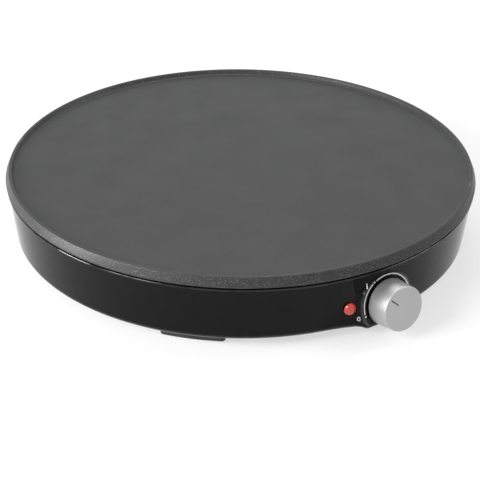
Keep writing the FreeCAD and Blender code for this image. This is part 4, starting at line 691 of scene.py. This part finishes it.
def makeDialMarks():
    d = dialMarks
    points, faces = [], []

    def addStrip(inside, outside):
        start = len(points)
        points.extend(inside)
        points.extend(outside)
        n = len(inside)
        faces.extend((start + k, start + k + 1, start + n + k + 1, start + n + k) for k in range(n - 1))

    for first, last in d["arcs"]:
        turns = np.radians(np.linspace(first, last, int(abs(last - first) / 1.5)))
        low, high = d["radius"] - d["width"] / 2, d["radius"] + d["width"] / 2
        addStrip(*(list(zip(r * np.sin(turns), r * np.cos(turns))) for r in (low, high)))
    for angle, size in d["dots"]:
        cx, cy = d["radius"] * math.sin(math.radians(angle)), d["radius"] * math.cos(math.radians(angle))
        start, count = len(points), d["dotSteps"]
        turns = [2 * math.pi * k / count for k in range(count)]
        points.extend((cx + size * math.sin(turn), cy + size * math.cos(turn)) for turn in turns)
        faces.append(tuple(range(start, start + count)))
    flat = np.array(points)
    placed = onHousing(knobPlane(flat[:, 0], flat[:, 1]), knobAxis, d["lift"]).tolist()
    for text, angle, radius in d["numbers"]:
        drawn = textMesh(text, d["numberHeight"])
        spot, right, up, out = tangentFrame(angle, radius)
        letter = np.array([v.co for v in drawn.vertices])
        start = len(placed)
        placed.extend(onHousing(spot + letter[:, :1] * right + letter[:, 1:2] * up, out, d["lift"]).tolist())
        faces.extend(tuple(start + i for i in f.vertices) for f in drawn.polygons)
        bpy.data.meshes.remove(drawn)
    mesh = bpy.data.meshes.new("dialMarks")
    mesh.from_pydata((np.array(placed) * mm).tolist(), [], faces)
    dressPiece(addObject("dialMarks", mesh), "base", "gloss_black_plastic", material=whitePrint)


makeDialMarks()
print("dial marks done")


# Knob

knobSizes = {"baseRadius": 14.6, "faceRadius": 13.8, "gap": 0.8, "length": 14.5, "edge": 0.75,
             "skirtInner": 13.6, "recessRadius": 12.8, "recess": 13.9,
             "pointer": (5.2, 12.2), "pointerWidth": 0.75, "pointerDepth": 0.35, "pointerAngle": 47.0,
             "pointerSteps": 24}


def makeKnob():
    k = knobSizes
    face = k["gap"] + k["length"]
    path = [(0.0, k["recess"]), (k["recessRadius"], k["recess"]), (k["skirtInner"], k["gap"])] + roundedPath([
        (k["baseRadius"] - 0.4, k["gap"]), (k["baseRadius"], k["gap"], 0.25),
        (k["faceRadius"], face, k["edge"]), (9.0, face), (4.0, face), (0.0, face)])
    cap = lathe("knobCap", path, 256)
    low, high = k["pointer"]
    half = k["pointerWidth"] / 2
    count = k["pointerSteps"]
    slot = []
    for z in (face - k["pointerDepth"], face + 1.0):
        for i in range(count):
            turn = 2 * math.pi * i / count
            across = half * math.cos(turn)
            along = (high - half if math.sin(turn) >= 0 else low + half) + half * math.sin(turn)
            slot.append((across * mm, along * mm, z * mm))
    mesh = bpy.data.meshes.new("pointerCut")
    sides = [(i, (i + 1) % count, count + (i + 1) % count, count + i) for i in range(count)]
    mesh.from_pydata(slot, [], [tuple(range(count))[::-1], tuple(range(count, 2 * count))] + sides)
    cutter = finishMesh("pointerCut", mesh)
    turned = Matrix.Rotation(math.radians(k["pointerAngle"]), 4, "Z")
    cutter.data.transform(turned)
    cutAway(cap, [cutter])
    cap.data.transform(knobMatrix)

    fillMesh = bpy.data.meshes.new("pointerFill")
    fillHeight = (face - k["pointerDepth"] + 0.03) * mm  # just above the groove's floor
    fillPoints = [(x * 0.97, y, fillHeight) for x, y, _ in slot[:count]]
    fillMesh.from_pydata(fillPoints, [], [tuple(range(count))])
    fillMesh.transform(knobMatrix @ turned)
    fill = addObject("pointerFill", fillMesh)
    dressPiece(cap, "knob", "satin_aluminium", ["knob_cap"])
    dressPiece(fill, "knob", "matt_black_plastic", material=darkFill)


makeKnob()
print("knob done")


# Indicator lens

def makeLens():
    r, (bore, stem) = lensSizes["radius"], lensSizes["stem"]
    end, shoulder, crown = lensSizes["stemEnd"], lensSizes["shoulder"], lensSizes["crown"]
    path = [(0.0, -1.0), (bore, -1.0), (bore, end), (stem, end), (stem, 0.0)] + roundedPath([
        (r - 0.4, 0.0), (r, 0.0, 0.1), (r, 0.7, 0.25), (r * 0.86, shoulder, 0.7), (r * 0.45, crown, 1.4),
        (0.0, crown)])
    lens = lathe("indicatorLens", path, 96)
    lens.data.transform(lensMatrix)
    dressPiece(lens, "base", "red_lens", ["indicator_lens"])


makeLens()
print("indicator lens done")


# Stage, lights and camera

# 1 for rays from the camera, in reflections and through glass
def seenDirectly(n):
    rays = n.add("ShaderNodeLightPath")
    seen = n.math("ADD", rays.outputs["Is Camera Ray"], rays.outputs["Is Glossy Ray"], clamp=True)
    return n.math("ADD", seen, rays.outputs["Is Transmission Ray"], clamp=True)


floorLook = {"colour": (0.92, 0.92, 0.92), "size": 9.0, "whiteShare": 0.6, "drop": 0.0002}


# Pale floor; most of what is seen of it is plain white, and the rest carries the shadow
def floorMaterial():
    material, n, shader = newMaterial("paleFloor", Roughness=0.9, Specular_IOR_Level=0.0)
    shader.inputs["Base Color"].default_value = (*floorLook["colour"], 1.0)
    white = n.add("ShaderNodeEmission", Strength=1.0)
    both = n.add("ShaderNodeMixShader")
    n.link(n.math("MULTIPLY", seenDirectly(n), floorLook["whiteShare"]), both.inputs[0])
    n.link(shader.outputs[0], both.inputs[1])
    n.link(white.outputs[0], both.inputs[2])
    n.link(both.outputs[0], material.node_tree.nodes["Material Output"].inputs["Surface"])
    return material


floorMesh = bpy.data.meshes.new("floor")
half = floorLook["size"] / 2
corners = [(-half, -half, 0), (half, -half, 0), (half, half, 0), (-half, half, 0)]
floorMesh.from_pydata(corners, [], [(0, 1, 2, 3)])
floor = addObject("floor", floorMesh)
floor.location.z = -floorLook["drop"]
floorMesh.materials.append(floorMaterial())

world = bpy.data.worlds.new("studio")
bpy.context.scene.world = world
world.use_nodes = True
w = Nodes(world.node_tree)
background = world.node_tree.nodes["Background"]
worldLook = {"strength": 0.45}
strength = w.add("ShaderNodeMapRange")
strength.inputs["To Min"].default_value = worldLook["strength"]
strength.inputs["To Max"].default_value = 1.0
w.link(seenDirectly(w), strength.inputs["Value"])
background.inputs["Color"].default_value = (1.0, 1.0, 1.0, 1.0)
w.link(strength.outputs["Result"], background.inputs["Strength"])

lampSet = {
    # name: (azimuth from the camera's side, elevation, distance, width, height, power)
    "keyLeft": (-50.0, 30.0, 1.3, 0.5, 0.5, 12.0),
    "lowLeft": (-76.0, 14.0, 1.2, 0.35, 0.3, 14.0),
    "fillRight": (98.0, 38.0, 1.4, 0.5, 0.5, 5.0),
    "topBack": (178.0, 58.0, 1.4, 0.7, 0.35, 7.0),
}
# The azimuth is in degrees, the other angles are in radians; the focal length is in pixels of the frame
cameraLook = {"azimuth": -33.9, "elevation": 0.45854, "distance": 5.5 * 0.1527, "pitch": 0.06598,
              "roll": 0.01029, "focal": 1258.56, "frame": 480, "sensor": 36.0, "aim": (0.0, 0.0, 0.05)}

for name, (azimuth, elevation, distance, width, height, power) in lampSet.items():
    lamp = bpy.data.lights.new(name, "AREA")
    lamp.shape = "RECTANGLE"
    lamp.size = width
    lamp.size_y = height
    lamp.energy = power
    holder = addObject(name, lamp)
    a = math.radians(cameraLook["azimuth"] + azimuth)
    e = math.radians(elevation)
    away = Vector((math.sin(a) * math.cos(e), -math.cos(a) * math.cos(e), math.sin(e)))
    holder.location = Vector(cameraLook["aim"]) + away * distance
    holder.rotation_mode = "QUATERNION"
    holder.rotation_quaternion = (-away).to_track_quat("-Z", "Y")

cameraData = bpy.data.cameras.new("camera")
cameraData.sensor_width = cameraLook["sensor"]
cameraData.lens = cameraLook["focal"] * cameraLook["sensor"] / cameraLook["frame"]
cameraData.clip_start = 0.01
camera = addObject("camera", cameraData)
turnZ = Matrix.Rotation(math.radians(cameraLook["azimuth"]), 3, "Z")
rise = cameraLook["elevation"]
down = rise + cameraLook["pitch"]
forward = turnZ @ Vector((0, math.cos(down), -math.sin(down)))
right = turnZ @ Vector((1, 0, 0))
up = right.cross(forward)
roll = cameraLook["roll"]
rightRolled = right * math.cos(roll) + up * math.sin(roll)
upRolled = up * math.cos(roll) - right * math.sin(roll)
back = turnZ @ Vector((0, -math.cos(rise), math.sin(rise)))
place = Vector(cameraLook["aim"]) + back * cameraLook["distance"]
cameraAxes = Matrix((rightRolled, upRolled, -forward)).transposed()
camera.matrix_world = Matrix.Translation(place) @ cameraAxes.to_4x4()
bpy.context.scene.camera = camera
bpy.context.scene.view_settings.view_transform = "Standard"
print("stage, lamps and camera done")

bpy.context.view_layer.update()
